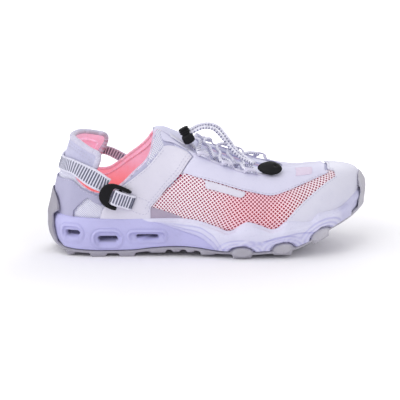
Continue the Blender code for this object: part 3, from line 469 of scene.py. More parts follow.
# %% [markdown]
# A new shoe on a shelf still shows where it was pulled over the last: soft troughs at the ball, behind
# the toe cap and at the heel, with low ridges beside them. They are listed one by one, each as a line from
# one place on the upper to another, and every layer that is laid on the upper follows them.
# %% Creases
CREASES = [
    # round, rise to round, rise, width in mm, height in mm
    (6.15, 0.20, 6.65, 0.42, 4.5, -0.55), (6.55, 0.18, 6.95, 0.36, 4.0, 0.35),
    (7.15, 0.26, 7.65, 0.50, 4.5, -0.5), (11.0, 0.26, 10.4, 0.50, 4.5, -0.5),
    (11.9, 0.20, 11.3, 0.42, 4.5, -0.55), (0.55, 0.22, 0.95, 0.46, 6.0, -0.6),
    (17.4, 0.22, 17.0, 0.46, 6.0, -0.6), (3.0, 0.30, 3.5, 0.52, 5.0, -0.45),
    (15.0, 0.30, 14.5, 0.52, 5.0, -0.45), (8.5, 0.36, 9.4, 0.42, 6.0, 0.4),
    (5.2, 0.60, 5.9, 0.58, 5.0, -0.35), (12.8, 0.60, 12.1, 0.58, 5.0, -0.35),
]
ROUND_MM, RISE_MM = 34.0, 80.0


def cloth_mm(round_, rise):
    """Places on the upper as flat cloth, near enough in millimetres."""
    return np.column_stack([np.asarray(round_) * ROUND_MM, np.asarray(rise) * RISE_MM])


def ridge(away, width):
    """A smooth hump of height 1, falling off over a width."""
    return np.exp(-((away / width) ** 2))


def creases(round_, rise):
    flat, lift = cloth_mm(round_ % ROUNDS, rise), np.zeros(len(round_))
    for round_from, rise_from, round_to, rise_to, width, height in CREASES:
        start, end = cloth_mm((round_from, round_to), (rise_from, rise_to))
        run = end - start
        share = np.clip((flat - start) @ run / (run @ run), 0, 1)
        away = np.linalg.norm(flat - start - share[:, None] * run, axis=1)
        lift += height * ridge(away, width)
    return lift


def on_upper(round_, rise, offset):
    lift = np.broadcast_to(np.asarray(offset, float), round_.shape) + creases(round_, rise)
    return upper_point(round_, rise) + upper_normal(round_, rise) * lift[:, None]


def at_height(offset):
    """The surface that lies at one height over the upper."""
    return lambda round_, rise: on_upper(round_, rise, offset)


print("creases:", len(CREASES))

# %% [markdown]
# Panels are cut from flat cloth and then lasted. The same is done here: an outline of round and rise is
# one flat face, plane cuts divide it into cells, and the cells are moved on to the upper and given a
# thickness. The flat place of each point is kept as an attribute, so a weave follows the surface.
# %% Cut and lay
SHEET_FINENESS, MERGE, SHARP_EDGE = (8, 26), 0.12, 45


def smooth(points, steps=4):
    """A smooth curve through outline points, with the ends kept."""
    rows = np.array([points[0], *points, points[-1]], float)
    shares = np.arange(steps)[:, None] / steps
    parts = [blend(*rows[i:i + 4], shares) for i in range(len(rows) - 3)]
    return [tuple(point) for part in parts for point in part] + [tuple(points[-1])]


def cut_flat(outline, fineness):
    """A flat outline, cut into cells by planes across both directions."""
    mesh = bmesh.new()
    mesh.faces.new([mesh.verts.new((*point, 0)) for point in outline])
    for axis, count in enumerate(fineness):
        reach = [point[axis] * count for point in outline]
        normal = Vector((1 - axis, axis, 0))
        for step in range(ceil(min(reach)), floor(max(reach)) + 1):
            everything = [*mesh.verts, *mesh.edges, *mesh.faces]
            bmesh.ops.bisect_plane(
                mesh, geom=everything, dist=1e-5, plane_co=normal * (step / count), plane_no=normal
            )
    return mesh


def move_to(verts, points):
    for vert, point in zip(verts, points):
        vert.co = point


def flat_places(verts, layer):
    places = np.array([vert[layer] for vert in verts])
    return places[:, 0], places[:, 1]


def lay(outline, inside, outside, fineness=SHEET_FINENESS):
    """A closed sheet between two surfaces. Returns it with the vertices of its inner side."""
    mesh = cut_flat(outline, fineness)
    place, cloth = (mesh.verts.layers.float_vector.new(name) for name in ("place", "cloth"))
    for vert in mesh.verts:
        vert[place] = vert.co
    verts = list(mesh.verts)
    move_to(verts, outside(*flat_places(verts, place)))
    bmesh.ops.remove_doubles(mesh, verts=mesh.verts, dist=MERGE)
    grown = bmesh.ops.extrude_face_region(mesh, geom=mesh.faces[:], use_keep_orig=True)
    fresh = {part for part in grown["geom"] if isinstance(part, bmesh.types.BMVert)}
    inner = [vert for vert in mesh.verts if vert not in fresh]
    move_to(inner, inside(*flat_places(inner, place)))
    for vert in mesh.verts:
        vert[cloth] = (vert[place].x * ROUND_MM, vert[place].y * RISE_MM, 0)
    bmesh.ops.recalc_face_normals(mesh, faces=mesh.faces)
    return mesh, set(inner)


def modify(thing, name, kind, **settings):
    """Adds a modifier."""
    change = thing.modifiers.new(name, kind)
    for setting, value in settings.items():
        setattr(change, setting, value)


def piece(mesh, name, finishes, stands_for=(), bevel=0.0, segments=2, sharp=None):
    """Turns a millimetre bmesh into a piece of the shoe, in metres, that rides on the frame."""
    bmesh.ops.scale(mesh, vec=(MILLIMETRE,) * 3, verts=mesh.verts)
    data = bpy.data.meshes.new(name)
    mesh.to_mesh(data)
    mesh.free()
    data.shade_smooth()
    if sharp:
        data.set_sharp_from_angle(angle=radians(sharp))
    for made in finishes if isinstance(finishes, list) else [finishes]:
        data.materials.append(made)
    thing = placed(name, data)
    if bevel:
        modify(thing, "soft_edges", "BEVEL", width=bevel * MILLIMETRE, segments=segments, material=-1,
               limit_method="ANGLE", angle_limit=radians(SHARP_EDGE), use_clamp_overlap=False)
    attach(thing, "root")
    if stands_for:
        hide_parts(*stands_for)
    print(name, len(data.polygons), "faces")
    return thing

# %% [markdown]
# The lace's free run comes first of the pieces: two strands stand up out of the cord lock in a stiff
# arch and end in the oval keeper. A curve with a bevel would do, but a tube that is extruded ring by
# ring can carry the distance along itself, and the flecks of the braid are then placed by that distance.
# %% Cords
LACE, BRAID_LAY = 3.0, 1.1
FLECK, FLECK_TURN, FLECK_EDGE = 2.6, 1.1, (0.55, 0.85)


def frames(points):
    """A side direction and a second one for each point of a path, turning no more than they must."""
    steps = unit(np.gradient(points, axis=0))
    side = np.cross(steps[0], (0, 0, 1.0))
    side /= np.linalg.norm(side)
    sides = []
    for step in steps:
        side = side - step * (side @ step)
        side /= np.linalg.norm(side)
        sides.append(side)
    sides = np.array(sides)
    return sides, np.cross(steps, sides)


def swept(points, radius, sides):
    """A closed tube along a path: a round face, extruded from point to point."""
    run = run_along(points)
    first, second = frames(points)
    mesh = bmesh.new()
    bmesh.ops.create_circle(mesh, cap_ends=True, segments=sides, radius=1)
    cloth = mesh.verts.layers.float_vector.new("cloth")
    spot = mesh.verts.layers.float_vector.new("spot")
    for vert in mesh.verts:
        vert[spot] = vert.co
    cap, ring = mesh.faces[:][0], list(mesh.verts)
    for i, point in enumerate(points):
        if i:
            grown = bmesh.ops.extrude_face_region(mesh, geom=[cap], use_keep_orig=i == 1)
            cap = next(part for part in grown["geom"] if isinstance(part, bmesh.types.BMFace))
            ring = list(cap.verts)
        for vert in ring:
            turn_ = atan2(vert[spot].y, vert[spot].x)
            vert.co = point + (first[i] * cos(turn_) + second[i] * sin(turn_)) * radius
            vert[cloth] = (run[i], cos(turn_), sin(turn_))
    bmesh.ops.recalc_face_normals(mesh, faces=mesh.faces)
    return mesh


def braid_tint(tree, cloth, place):
    """Grey flecks that spiral round a white cord."""
    run, first, second = split(tree, cloth)
    turned = sums(tree, "MULTIPLY", first, second)
    spiral = sums(tree, "MULTIPLY_ADD", turned, FLECK_TURN, wave(tree, run, FLECK))
    return mixed(tree, ramped(tree, spiral, *FLECK_EDGE), paint(234, 233, 247), paint(128, 128, 160))


def braid_grain(tree, cloth, place):
    run, first, _ = split(tree, cloth)
    return as_share(tree, sums(tree, "MULTIPLY", wave(tree, run, BRAID_LAY), first))


BRAID = finish("braided_cord", braid_tint, (186, 186, 210), 0.75, 0.25, braid_grain)
LOOP_OUTER = [
    (-16.4, -16.8, 99.6), (-11.2, -14, 103), (-6, -10.5, 104.8), (0, -8.5, 105.5), (6.5, -8, 104.5),
    (12.5, -8.5, 100), (19.8, -11, 90.3), (25, -14, 83.6), (35.2, -21, 76.6), (38.8, -24.2, 75.3),
]
LOOP_INNER = [
    (-15.2, -17.6, 98.4), (-9.5, -18, 101.5), (-4, -16.5, 103.6), (0, -15.5, 103.8), (6.5, -15, 102),
    (14, -15.5, 94), (19.8, -17, 86.5), (27, -20, 79.8), (33, -23.4, 77), (37.5, -28, 75.4),
]
for name, route in (("lace_run_outer", LOOP_OUTER), ("lace_run_inner", LOOP_INNER)):
    path = np.array(smooth(route, 5))
    node = name.replace("run", "loop")
    strand = piece(swept(path, LACE / 2, sides=12), name, BRAID, [node])
    length = run_along(path)[-1] * MILLIMETRE
    print(name, "is", round(length * 1000, 1), "mm long")

# %% [markdown]
# The midsole is one moulding of foam. A loft of rings would give its body but not its relief, so a fine
# grid is bent round the foot from the tray's floor over the rim and down the wall. Each point of the wall
# is then pushed in or out by its distance from a drawn shape: windows, arches round the lugs, and the
# line between two tones.
# %% Midsole relief
GAP, RIM, TUCK, WRAP_RELIEF = 0.35, 2.6, 1.8, 3.3
WINDOWS = [
    # middle x and z, length and height of frame, length and height of slot
    (-112, 20, 17, 10.5, 13, 4), (-82, 15.5, 22, 12, 16.5, 4.4), (-49.5, 17.5, 29, 6.5, 18, 2.6),
]
FRAME_DEPTH, FRAME_STEP, SLOT_DEPTH = 1.3, 0.7, 3.6
FRAME_EDGE, STEP_EDGE, SLOT_EDGE, SLOT_SHADE_EDGE = (0.5, -0.5), (1.9, 1.2), (0.35, -0.35), (0.15, -0.6)
FRAME_LINE, ARCH_LINE, FAN_LINE = (-0.3, 0.5), 0.55, (-0.5, 0.6)  # places and widths of lines of painted shade
FRAME_RINGS = [(1.0, 0.6, 0.9), (2.7, -0.5, 0.6)]  # distance outside a frame, height and width
SIDE_LUGS = [(27.7, 9.8, 11, 0), (60.4, 9.6, 14, 2.6), (91, 9.4, 23.5, 12.5)]  # x, half length, arch, foot
ARCH_STEPS = [(0.4, -3.0), (2.4, 1.5), (4.8, 0.8)]  # reach from the lug, and height
LUG_INSET, SOFT, LUG_MIDDLE, FAR = 0.6, 0.35, (-3, 1), 99.0
TONE_LINE = [(-62, 38), (-51, 30.7), (-40, 28.9), (-20, 22.5), (-6, 17.7), (0.5, 12.7), (5.6, 7.6), (12, -4)]
FAN_FROM, FAN_TO, FAN_WIDEST, FAN_SOFT, FAN_MASK = -45.0, -6.0, 3, 0.5, 0.6
FAN = [(0.0, 0.9, 0.45), (4.3, 0.5, 0.35), (8.6, 0.4, 0.2)]  # height at FAN_TO, step, share of the pale tone
SHELF, SHELF_STEP = [(60, 23), (83, 26.7), (97, 31.5), (111, 36.1), (122, 41)], 0.9
SHELF_ENDS, SHELF_SOFT = (58, 74), 0.4
# painted shade: on the facets of the toe's tip, and how dark it is along edges and steps
FACET_FROM, FACET_TO, FACET_SHADE = 106.0, 110.0, 0.3
EDGE_SHADE, SLOPE_STEP = 0.65, 2
HEEL_WRAP, TOE_WRAP = (1.2, 0.72), (0.85, 0.52)  # rounds from heel and toe where the rubber's wrap fades


def soft_step(value, start, end):
    share = np.clip((value - start) / (end - start), 0, 1)
    return share * share * (3 - 2 * share)


def capsule_away(x, z, middle_x, middle_z, length, height):
    past = np.maximum(np.abs(x - middle_x) - (length - height) / 2, 0)
    return np.hypot(past, z - middle_z) - height / 2


def sole_slope(x):
    before, after = (along(MIDSOLE_BOTTOM, x + step) for step in (-SLOPE_STEP, SLOPE_STEP))
    return np.arctan2(after - before, 2 * SLOPE_STEP)


def windows_relief(x, z):
    """Slots in sunk frames with a lip round each, as heights and as masks of painted shade in the slots and
    along the grooves.
    """
    lift, slot_shade, groove_shade = np.zeros((3, len(x)))
    for middle_x, middle_z, long, high, slot_long, slot_high in WINDOWS:
        frame_away = capsule_away(x, z, middle_x, middle_z, long, high)
        slot_away = capsule_away(x, z, middle_x, middle_z, slot_long, slot_high)
        for distance, height, width in FRAME_RINGS:
            lift += height * ridge(frame_away - distance, width)
            # painted shade in the sunk ring round the frame
            groove_shade += max(-height, 0) * ridge(frame_away - distance, width)
        lift -= FRAME_DEPTH * soft_step(frame_away, *FRAME_EDGE)
        lift -= FRAME_STEP * soft_step(slot_away, *STEP_EDGE)
        lift -= SLOT_DEPTH * soft_step(slot_away, *SLOT_EDGE)
        # painted shade along the frame's edge
        groove_shade += ridge(frame_away - FRAME_LINE[0], FRAME_LINE[1]) * EDGE_SHADE
        # painted shade: a dark mask over the slot
        slot_shade = np.maximum(slot_shade, soft_step(slot_away, *SLOT_SHADE_EDGE))
    return lift, slot_shade, groove_shade


def lug_away(x, z):
    """Distance from the nearest lug at the side, and whether a place is over its middle."""
    away, above = np.full(len(x), FAR), np.zeros(len(x))
    for middle_x, half, arch, foot in SIDE_LUGS:
        lean = sole_slope(np.array([middle_x]))[0]
        tall = (arch - foot) / 2 - LUG_INSET
        right, up = x - middle_x, z - (arch + foot) / 2 - LUG_INSET
        right, up = right * cos(lean) + up * sin(lean), up * cos(lean) - right * sin(lean)
        this = (np.hypot(right / half, up / tall) - 1) * min(half, tall)
        above = np.where(this < away, soft_step(up, *LUG_MIDDLE), above)
        away = np.minimum(away, this)
    return away, above


def arches_relief(x, z):
    """Stepped ridges over each lug at the side, like eyebrows, with painted shade along their steps."""
    away, above = lug_away(x, z)
    lift, groove_shade, nearer = np.zeros(len(x)), np.zeros(len(x)), -FAR
    for reach, height in ARCH_STEPS:
        between = soft_step(away, reach + SOFT, reach - SOFT) * soft_step(away, nearer - SOFT, nearer + SOFT)
        lift += above * height * between
        groove_shade += above * ridge(away - reach - SOFT, ARCH_LINE) * EDGE_SHADE
        nearer = reach
    return lift, groove_shade


def wall_relief(x, z):
    """How far the wall stands out at x and z, and its masks for the pale front, painted shade in the slots
    and painted shade on grooves and facets.
    """
    lift, slot_shade, groove_shade = windows_relief(x, z)
    over_lugs, arch_groove_shade = arches_relief(x, z)
    lift, groove_shade = lift + over_lugs, groove_shade + arch_groove_shade
    opening, front = np.clip((x - FAN_FROM) / (FAN_TO - FAN_FROM), 0, FAN_WIDEST), np.zeros(len(x))
    for height, step, share in FAN:
        ahead = z - along(TONE_LINE, x) - height * opening
        lift += step * soft_step(ahead, -FAN_SOFT, FAN_SOFT)
        front += share * soft_step(ahead, -FAN_MASK, FAN_MASK)
        groove_shade += ridge(ahead - FAN_LINE[0], FAN_LINE[1]) * EDGE_SHADE * soft_step(x, FAN_FROM, FAN_TO)
    over_shelf = soft_step(z - along(SHELF, x), -SHELF_SOFT, SHELF_SOFT)
    lift -= SHELF_STEP * over_shelf * soft_step(x, *SHELF_ENDS)
    painted_shade = np.clip(np.maximum(FACET_SHADE * soft_step(x, FACET_FROM, FACET_TO), groove_shade), 0, 1)
    return lift, np.column_stack([front, slot_shade, painted_shade])


def wrap_step(round_):
    """The step in behind the rubber that wraps up at heel and toe."""
    from_heel, from_toe = np.minimum(round_, ROUNDS - round_), np.abs(round_ - TOE)
    return WRAP_RELIEF * np.maximum(soft_step(from_heel, *HEEL_WRAP), soft_step(from_toe, *TOE_WRAP))

# %% [markdown]
# The grid's first direction runs round the foot and its second runs through a list of stations: floor,
# inside of the rim, its rounded crest, the wall and the turn under. The two ends of the grid meet at the
# heel and are merged there, and the open floor and underside are closed with a face each.
# %% Midsole
AROUND, WALL_ROWS, UNDER_ROWS, CREST_ROWS = 900, 40, 10, 4
BULGE, CREST_DROP, CREST_HEIGHT, SIDE_SHARE = 0.9, 0.6, 0.9, 0.45
RELIEF_TOP, RELIEF_END, WRAP_CLEAR = (2.0, 2.12), (4.0, 3.8), 0.3


def midsole_point(round_, station):
    """Stations: 0 floor, 1 inside of the rim, then to 2 over the crest, 3 down the wall, 4 round under."""
    edge, out = sole_edge_rise(round_), outward(round_)
    foot = upper_foot(round_) + out * GAP
    foot[:, 2] = along(PLATFORM, foot[:, 0])
    inner = on_upper(round_, edge, GAP)
    crest = on_upper(round_, edge, GAP + RIM)
    crest[:, 2] -= CREST_DROP
    side = plan(round_) - out * wrap_step(round_)[:, None]
    base = along(MIDSOLE_BOTTOM, side[:, 0])
    side[:, 2] = base + SIDE_SHARE * (crest[:, 2] - base)
    under = plan(round_) - out * (wrap_step(round_) + TUCK)[:, None]
    under[:, 2] = along(MIDSOLE_BOTTOM, under[:, 0])
    over, down, turn_ = (np.clip(station - start, 0, 1)[:, None] for start in (1, 2, 3))
    points = foot + (inner - foot) * np.clip(station, 0, 1)[:, None]
    points = points + (crest - inner) * over + (0, 0, CREST_HEIGHT) * np.sin(over * pi)
    wall = crest + (side - crest) * down + out * np.sin(down * pi) * BULGE
    inwards, down_share = 1 - np.cos(turn_ * pi / 2), np.sin(turn_ * pi / 2)
    bent = side + (under - side) * np.column_stack([inwards, inwards, down_share])
    return np.where(turn_ > 0, bent, np.where(down > 0, wall, points)), out


rows = enumerate((CREST_ROWS, WALL_ROWS, UNDER_ROWS), start=1)
stations = np.concatenate([[0, 1], *(np.arange(1, count + 1) / count + whole for whole, count in rows)])
mesh = bmesh.new()
bmesh.ops.create_grid(mesh, x_segments=AROUND, y_segments=len(stations) - 1, size=0.5)
cloth = mesh.verts.layers.float_vector.new("cloth")
verts = list(mesh.verts)
flat = np.array([vert.co for vert in verts])
rounds = np.round((flat[:, 0] + 0.5) * AROUND) / AROUND * ROUNDS
station = stations[np.round((flat[:, 1] + 0.5) * (len(stations) - 1)).astype(int)]
points, out = midsole_point(rounds, station)
lift, masks = wall_relief(points[:, 0], points[:, 2])
lift = lift * soft_step(station, *RELIEF_TOP) * soft_step(station, *RELIEF_END)
lift = lift * (wrap_step(rounds) < WRAP_CLEAR)
move_to(verts, points + out * lift[:, None])
for vert, mask in zip(verts, masks):
    vert[cloth] = mask
bmesh.ops.remove_doubles(mesh, verts=mesh.verts, dist=1e-3)
bmesh.ops.holes_fill(mesh, edges=[edge for edge in mesh.edges if edge.is_boundary], sides=0)
bmesh.ops.recalc_face_normals(mesh, faces=mesh.faces)
piece(mesh, "midsole_moulding", FOAM, ["midsole"])

# %% [markdown]
# The outsole's solid already has its lugs, cheeks and wraps, but with the hard edges of cut blocks. Rubber
# comes out of its mould with every edge rounded. Bevels fail where so many small faces meet, so a merged
# copy of the solid is remeshed into even cells and relaxed, which rounds all its edges at once. The
# footbed is a copy of its solid too, with a plain bevel.
# %% Outsole and footbed
RUBBER_CELL, FOOTBED_EDGE, FOOTBED_SHARP = 0.9, 0.8, 30


def copy_of(node, name, finishes):
    """A merged copy of a solid's mesh, as a piece that stands for it."""
    mesh = bmesh.new()
    mesh.from_mesh(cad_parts[node].data)
    bmesh.ops.remove_doubles(mesh, verts=mesh.verts, dist=1e-6)
    bmesh.ops.scale(mesh, vec=(1 / MILLIMETRE,) * 3, verts=mesh.verts)
    return piece(mesh, name, finishes, [node])


outsole = copy_of("outsole", "outsole_moulding", RUBBER)
modify(outsole, "even_cells", "REMESH", mode="VOXEL", voxel_size=RUBBER_CELL * MILLIMETRE,
       use_smooth_shade=True)
modify(outsole, "relax", "SMOOTH", factor=0.5, iterations=3)

footbed = copy_of("insole", "footbed", FOOTBED)
modify(footbed, "soft_edges", "BEVEL", width=FOOTBED_EDGE * MILLIMETRE, segments=3, limit_method="ANGLE",
       angle_limit=radians(FOOTBED_SHARP))
modify(footbed, "fine", "SUBSURF", levels=1, render_levels=1)

# %% [markdown]
# The shell is one hollow wall from the sole to the opening, with a scooped notch on each side of the ankle
# where the strap crosses bare. Its outside is knit, its inside coral lining or pale at the throat, and
# its face under the net is the red backing, so faces choose their finish by side and by place.
# %% Upper shell
WALL, COLLAR_PAD = 2.2, 1.8
PAD_RISE, PAD_FULL, PAD_END, PAD_FADE = 0.80, 0.12, 2.3, 0.4
SCOOP = [
    (2.45, 0.452), (2.64, 0.475), (2.84, 0.55), (3.12, 0.66), (3.48, 0.72), (3.66, 0.78), (3.80, 0.88),
    (3.93, 0.97),
]
NOTCH = smooth([
    (1.92, 1.0), (2.03, 0.92), (1.99, 0.83), (1.90, 0.71), (1.76, 0.65), (1.55, 0.63), (1.38, 0.61),
    (1.46, 0.585), (1.70, 0.545), (1.95, 0.498), (2.20, 0.46), *SCOOP, (4.02, 1.0),
])
INNER_SCOOP = [
    (1.74, 0.62), (1.80, 0.555), (2.0, 0.53), (2.18, 0.53), (2.36, 0.55), (2.56, 0.62), (2.80, 0.72),
    (3.0, 0.785), (3.24, 0.83), (3.54, 0.88), (3.80, 0.95),
]
INNER_NOTCH = smooth([(1.92, 1.0), (2.0, 0.92), (1.95, 0.83), (1.84, 0.70), *INNER_SCOOP, (4.02, 1.0)])
UPPER_OUTLINE = [
    (0, 0), (ROUNDS, 0), (ROUNDS, 1), *((ROUNDS - round_, rise) for round_, rise in INNER_NOTCH),
    *reversed(NOTCH), (0, 1),
]
VAMP = [
    (3.30, 0.0), (3.40, 0.24), (4.24, 0.50), (4.42, 0.565), (5.40, 0.54), (6.50, 0.48), (7.90, 0.54),
    (8.25, 0.55), (8.25, 0.40), (7.30, 0.0),
]
HEEL_NET = [(1.96, 0.40), (2.46, 0.25), (2.40, 0.0), (1.40, 0.0)]
ANKLE_NET = [(-0.2, 0.48), (-0.2, 0.70), (1.80, 0.70), (1.80, 0.50)]
NET_TOP = [(4.06, 1.02), (4.16, 0.98), (4.08, 0.78)]
COLLAR_NET = [(3.50, 0.66), (3.62, 0.76), *NET_TOP]
INNER_COLLAR_NET = [(2.90, 0.55), (2.90, 0.84), (3.60, 0.96), *NET_TOP]
SHELL_FINENESS = (12, 30)


def collar_wall(round_, rise):
    """The wall's thickness, with the padding of the heel's collar near its edge."""
    from_heel = np.minimum(round_ % ROUNDS, ROUNDS - round_ % ROUNDS)
    share = np.clip((rise - PAD_RISE) / PAD_FULL, 0, 1) * np.clip((PAD_END - from_heel) / PAD_FADE, 0, 1)
    return WALL + COLLAR_PAD * share


def within(outline, round_, rise):
    """Whether a place is inside an outline, counted by the edges that a line to its right crosses."""
    inside = False
    for (x0, y0), (x1, y1) in zip(outline, [*outline[1:], outline[0]]):
        if (y0 > rise) != (y1 > rise) and round_ < x0 + (x1 - x0) * (rise - y0) / (y1 - y0):
            inside = not inside
    return inside


def face_place(face, layer):
    """The middle of a face in round and rise, also where it crosses the heel's seam."""
    rounds = [vert[layer].x for vert in face.verts]
    if max(rounds) - min(rounds) > TOE:
        rounds = [round_ + ROUNDS * (round_ < TOE) for round_ in rounds]
    return sum(rounds) / len(rounds) % ROUNDS, sum(vert[layer].y for vert in face.verts) / len(rounds)


def outer_side(round_):
    """The same place counted on the outer side of the foot."""
    round_ %= ROUNDS
    return min(round_, ROUNDS - round_)


mesh, inner = lay(
    UPPER_OUTLINE,
    lambda round_, rise: on_upper(round_, rise, -collar_wall(round_, rise)),
    at_height(0),
    SHELL_FINENESS,
)
place = mesh.verts.layers.float_vector["place"]
_, LINING_FACE, BACKING_FACE, NET_FACE, FACING_FACE, THROAT_FACE = range(6)
THROAT_FROM, THROAT_RISE, FACING_FROM, FACING_RISE = 4.85, 0.50, 4.4, 0.70
for face in mesh.faces:
    round_, rise = face_place(face, place)
    spot = (outer_side(round_), rise)
    collar_net = INNER_COLLAR_NET if round_ > TOE else COLLAR_NET
    if any(vert in inner for vert in face.verts):
        if spot[0] < THROAT_FROM or spot[1] < THROAT_RISE:
            face.material_index = LINING_FACE
        elif all(vert in inner for vert in face.verts):
            face.material_index = THROAT_FACE
    elif spot[0] > FACING_FROM and spot[1] > FACING_RISE:
        face.material_index = FACING_FACE
    elif within(VAMP, *spot):
        face.material_index = BACKING_FACE
    elif any(within(patch, *spot) for patch in (HEEL_NET, ANKLE_NET, collar_net)):
        face.material_index = NET_FACE
shell_finishes = [SHELL, LINING, BACKING, FINE_NET, TONGUE_KNIT, THROAT]
piece(mesh, "upper_shell", shell_finishes, ["upper"], bevel=0.7, segments=3)

# %% [markdown]
# The collar is bound with a padded roll: pale round the heel cup and the outer scoop, pink along the
# inner scoop. Each roll is a tube along the shell's edge, sunk into it to half its depth, and piping
# lies on the lining below the edge.
# %% Collar rolls
HEEL_ROLL = [
    (1.86, 0.68), (1.91, 0.74), (1.99, 0.83), (2.02, 0.92), (1.94, 0.985), (1.60, 1.0), (1.0, 1.0),
    (0.5, 1.0), (0, 1.0),
]
PIPING = [(1.72, 0.80), (1.69, 0.88), (1.42, 0.905), (0.9, 0.91), (0.4, 0.91), (0, 0.91)]
PIPING_DROP = 0.075


def both_sides(route):
    return [*route, *((-round_, rise) for round_, rise in reversed(route[:-1]))]


def on_inner_side(route, drop=0):
    return [(ROUNDS - round_, rise - drop) for round_, rise in route]


ROLLS = [
    # name, route, radius, height over the upper, finish
    ("collar_roll", both_sides(HEEL_ROLL), 2.6, -1.6, RIM_CLOTH),
    ("collar_piping", both_sides(PIPING), 1.1, -WALL - COLLAR_PAD, LINING),
    ("scoop_roll_outer", SCOOP, 0.9, -1.2, RIM_CLOTH),
    ("scoop_roll_inner", on_inner_side(INNER_SCOOP), 1.5, -1.1, SOFT_EDGE),
    ("scoop_piping", on_inner_side(INNER_SCOOP[2:], PIPING_DROP), 0.8, -WALL, SOFT_EDGE),
]
for name, route, radius, height, made in ROLLS:
    round_, rise = np.array(smooth(route, 6)).T
    roll = piece(swept(on_upper(round_, rise, height), radius, sides=12), name, made)

# %% [markdown]
# The net over the vamp is coarse enough to see each hole, so it is real: a square grid turned by 45
# degrees is laid on the cloth, each cell is inset, and the middle of each cell is taken out. What is left
# is one web of thread, which is then given its thickness.
# %% Vamp net
NET_CELL, NET_THREAD_HALF, NET_LIFT, NET_THICK, NET_COUNT = 2.3, 0.58, 0.12, 0.4, 110
NET_ROUNDS, NET_RISE, NET_MIDDLE = np.linspace(2.8, 9.0, 125), 0.35, 5.85
NET_LOW, NET_STEP = 0.04, 0.02


def net_scales():
    """The net's own measure at each round: millimetres along the row at NET_RISE, and how much a full
    rise climbs across that row and slides along it."""
    level = np.full(len(NET_ROUNDS), NET_RISE)
    row = upper_point(NET_ROUNDS, level)
    ahead = unit(np.gradient(row, axis=0))
    below, above = (upper_point(NET_ROUNDS, level + step) for step in (-NET_STEP, NET_STEP))
    climb = (above - below) / (2 * NET_STEP)
    slide = (climb * ahead).sum(axis=1)
    run = run_along(row)
    across = np.linalg.norm(climb - ahead * slide[:, None], axis=1)
    return run - np.interp(NET_MIDDLE, NET_ROUNDS, run), across, slide


NET_RUN, NET_CLIMB, NET_SLIDE = net_scales()


def net_place(x, y):
    """Round and rise of a flat place of the net."""
    near = np.interp(x, NET_RUN, NET_ROUNDS)
    climbed = y / np.interp(near, NET_ROUNDS, NET_CLIMB)
    round_ = np.interp(x - climbed * np.interp(near, NET_ROUNDS, NET_SLIDE), NET_RUN, NET_ROUNDS)
    return round_, NET_RISE + climbed


def vamp_net(name, inner_side):
    mesh = bmesh.new()
    bmesh.ops.create_grid(mesh, x_segments=NET_COUNT, y_segments=NET_COUNT, size=NET_COUNT * NET_CELL / 2)
    bmesh.ops.transform(mesh, matrix=Matrix.Rotation(pi / 4, 4, "Z"), verts=mesh.verts)
    outside = []
    for face in mesh.faces:
        round_, rise = net_place(*face.calc_center_median()[:2])
        if rise < NET_LOW or not within(VAMP, round_, rise):
            outside.append(face)
    bmesh.ops.delete(mesh, geom=outside, context="FACES")
    cells = mesh.faces[:]
    bmesh.ops.inset_individual(mesh, faces=cells, thickness=NET_THREAD_HALF)
    bmesh.ops.delete(mesh, geom=cells, context="FACES")
    verts = list(mesh.verts)
    flat = np.array([vert.co for vert in verts])
    round_, rise = net_place(flat[:, 0], flat[:, 1])
    move_to(verts, on_upper(ROUNDS - round_ if inner_side else round_, rise, NET_LIFT))
    if inner_side:
        bmesh.ops.reverse_faces(mesh, faces=mesh.faces)
    made = piece(mesh, name, NET_THREAD)
    modify(made, "thread", "SOLIDIFY", thickness=NET_THICK * MILLIMETRE, offset=1)


vamp_net("vamp_net_outer", False)
vamp_net("vamp_net_inner", True)

# %% [markdown]
# Overlays are films and cut synthetics that are pressed and sewn on to the net. Each is laid a step in
# front of the upper from its outline, read from the outer side and mirrored over the toe or heel, and
# its cut edge is rounded by a small bevel.
# %% Overlays
OVERLAY_GAP, OVERLAY, LABEL, SOLE_OVERLAP = 0.7, 0.9, 0.6, 0.02


def across_toe(points):
    return [(ROUNDS - round_, rise) for round_, rise in reversed(points)]


def across_heel(points):
    return [(-round_, rise) for round_, rise in reversed(points)]


def along_sole(start, end, steps):
    """An edge that lies a little behind the sole's edge."""
    places = np.linspace(start, end, steps + 1)
    return list(zip(places, sole_edge_rise(places) - SOLE_OVERLAP))


BAND_FRONT = [(4.82, 0.775), (4.32, 0.54), (3.86, 0.385), (3.52, 0.23), (3.47, 0.17)]
BAND_BACK = [(2.41, 0.17), (2.47, 0.25), (2.78, 0.485), (3.16, 0.60), (3.58, 0.665), (4.02, 0.77)]
BAND_TOP = [(4.10, 0.80), (4.42, 0.825), (4.72, 0.82)]
BAND = [*smooth(BAND_BACK), *smooth(BAND_TOP), *smooth(BAND_FRONT), *along_sole(3.46, 2.36, 10)]
EYESTAY_LOW = [
    (4.82, 0.535), (5.44, 0.515), (6.02, 0.48), (6.30, 0.455), (6.54, 0.44), (6.90, 0.47), (7.22, 0.495),
    (7.62, 0.515), (7.96, 0.515),
]
EYESTAY_FRONT = [(8.10, 0.52), (8.11, 0.58), (8.62, 0.695), (TOE, 0.73)]
EYESTAY_TOP = smooth([
    (4.12, 0.975), (4.55, 0.90), (5.04, 0.835), (5.70, 0.795), (6.30, 0.745), (6.75, 0.745), (7.15, 0.80),
    (7.60, 0.90), (8.30, 0.965), (TOE, 0.975),
])
EYESTAY = [
    *smooth([(4.12, 0.975), (4.10, 0.86), (4.44, 0.865), (4.78, 0.86)])[1:],
    *smooth([(4.86, 0.775), (4.37, 0.55)]), *smooth(EYESTAY_LOW), *smooth(EYESTAY_FRONT),
]
CAP_BACK = [(TOE, 0.71), (8.68, 0.677), (8.22, 0.58), (8.24, 0.50)]
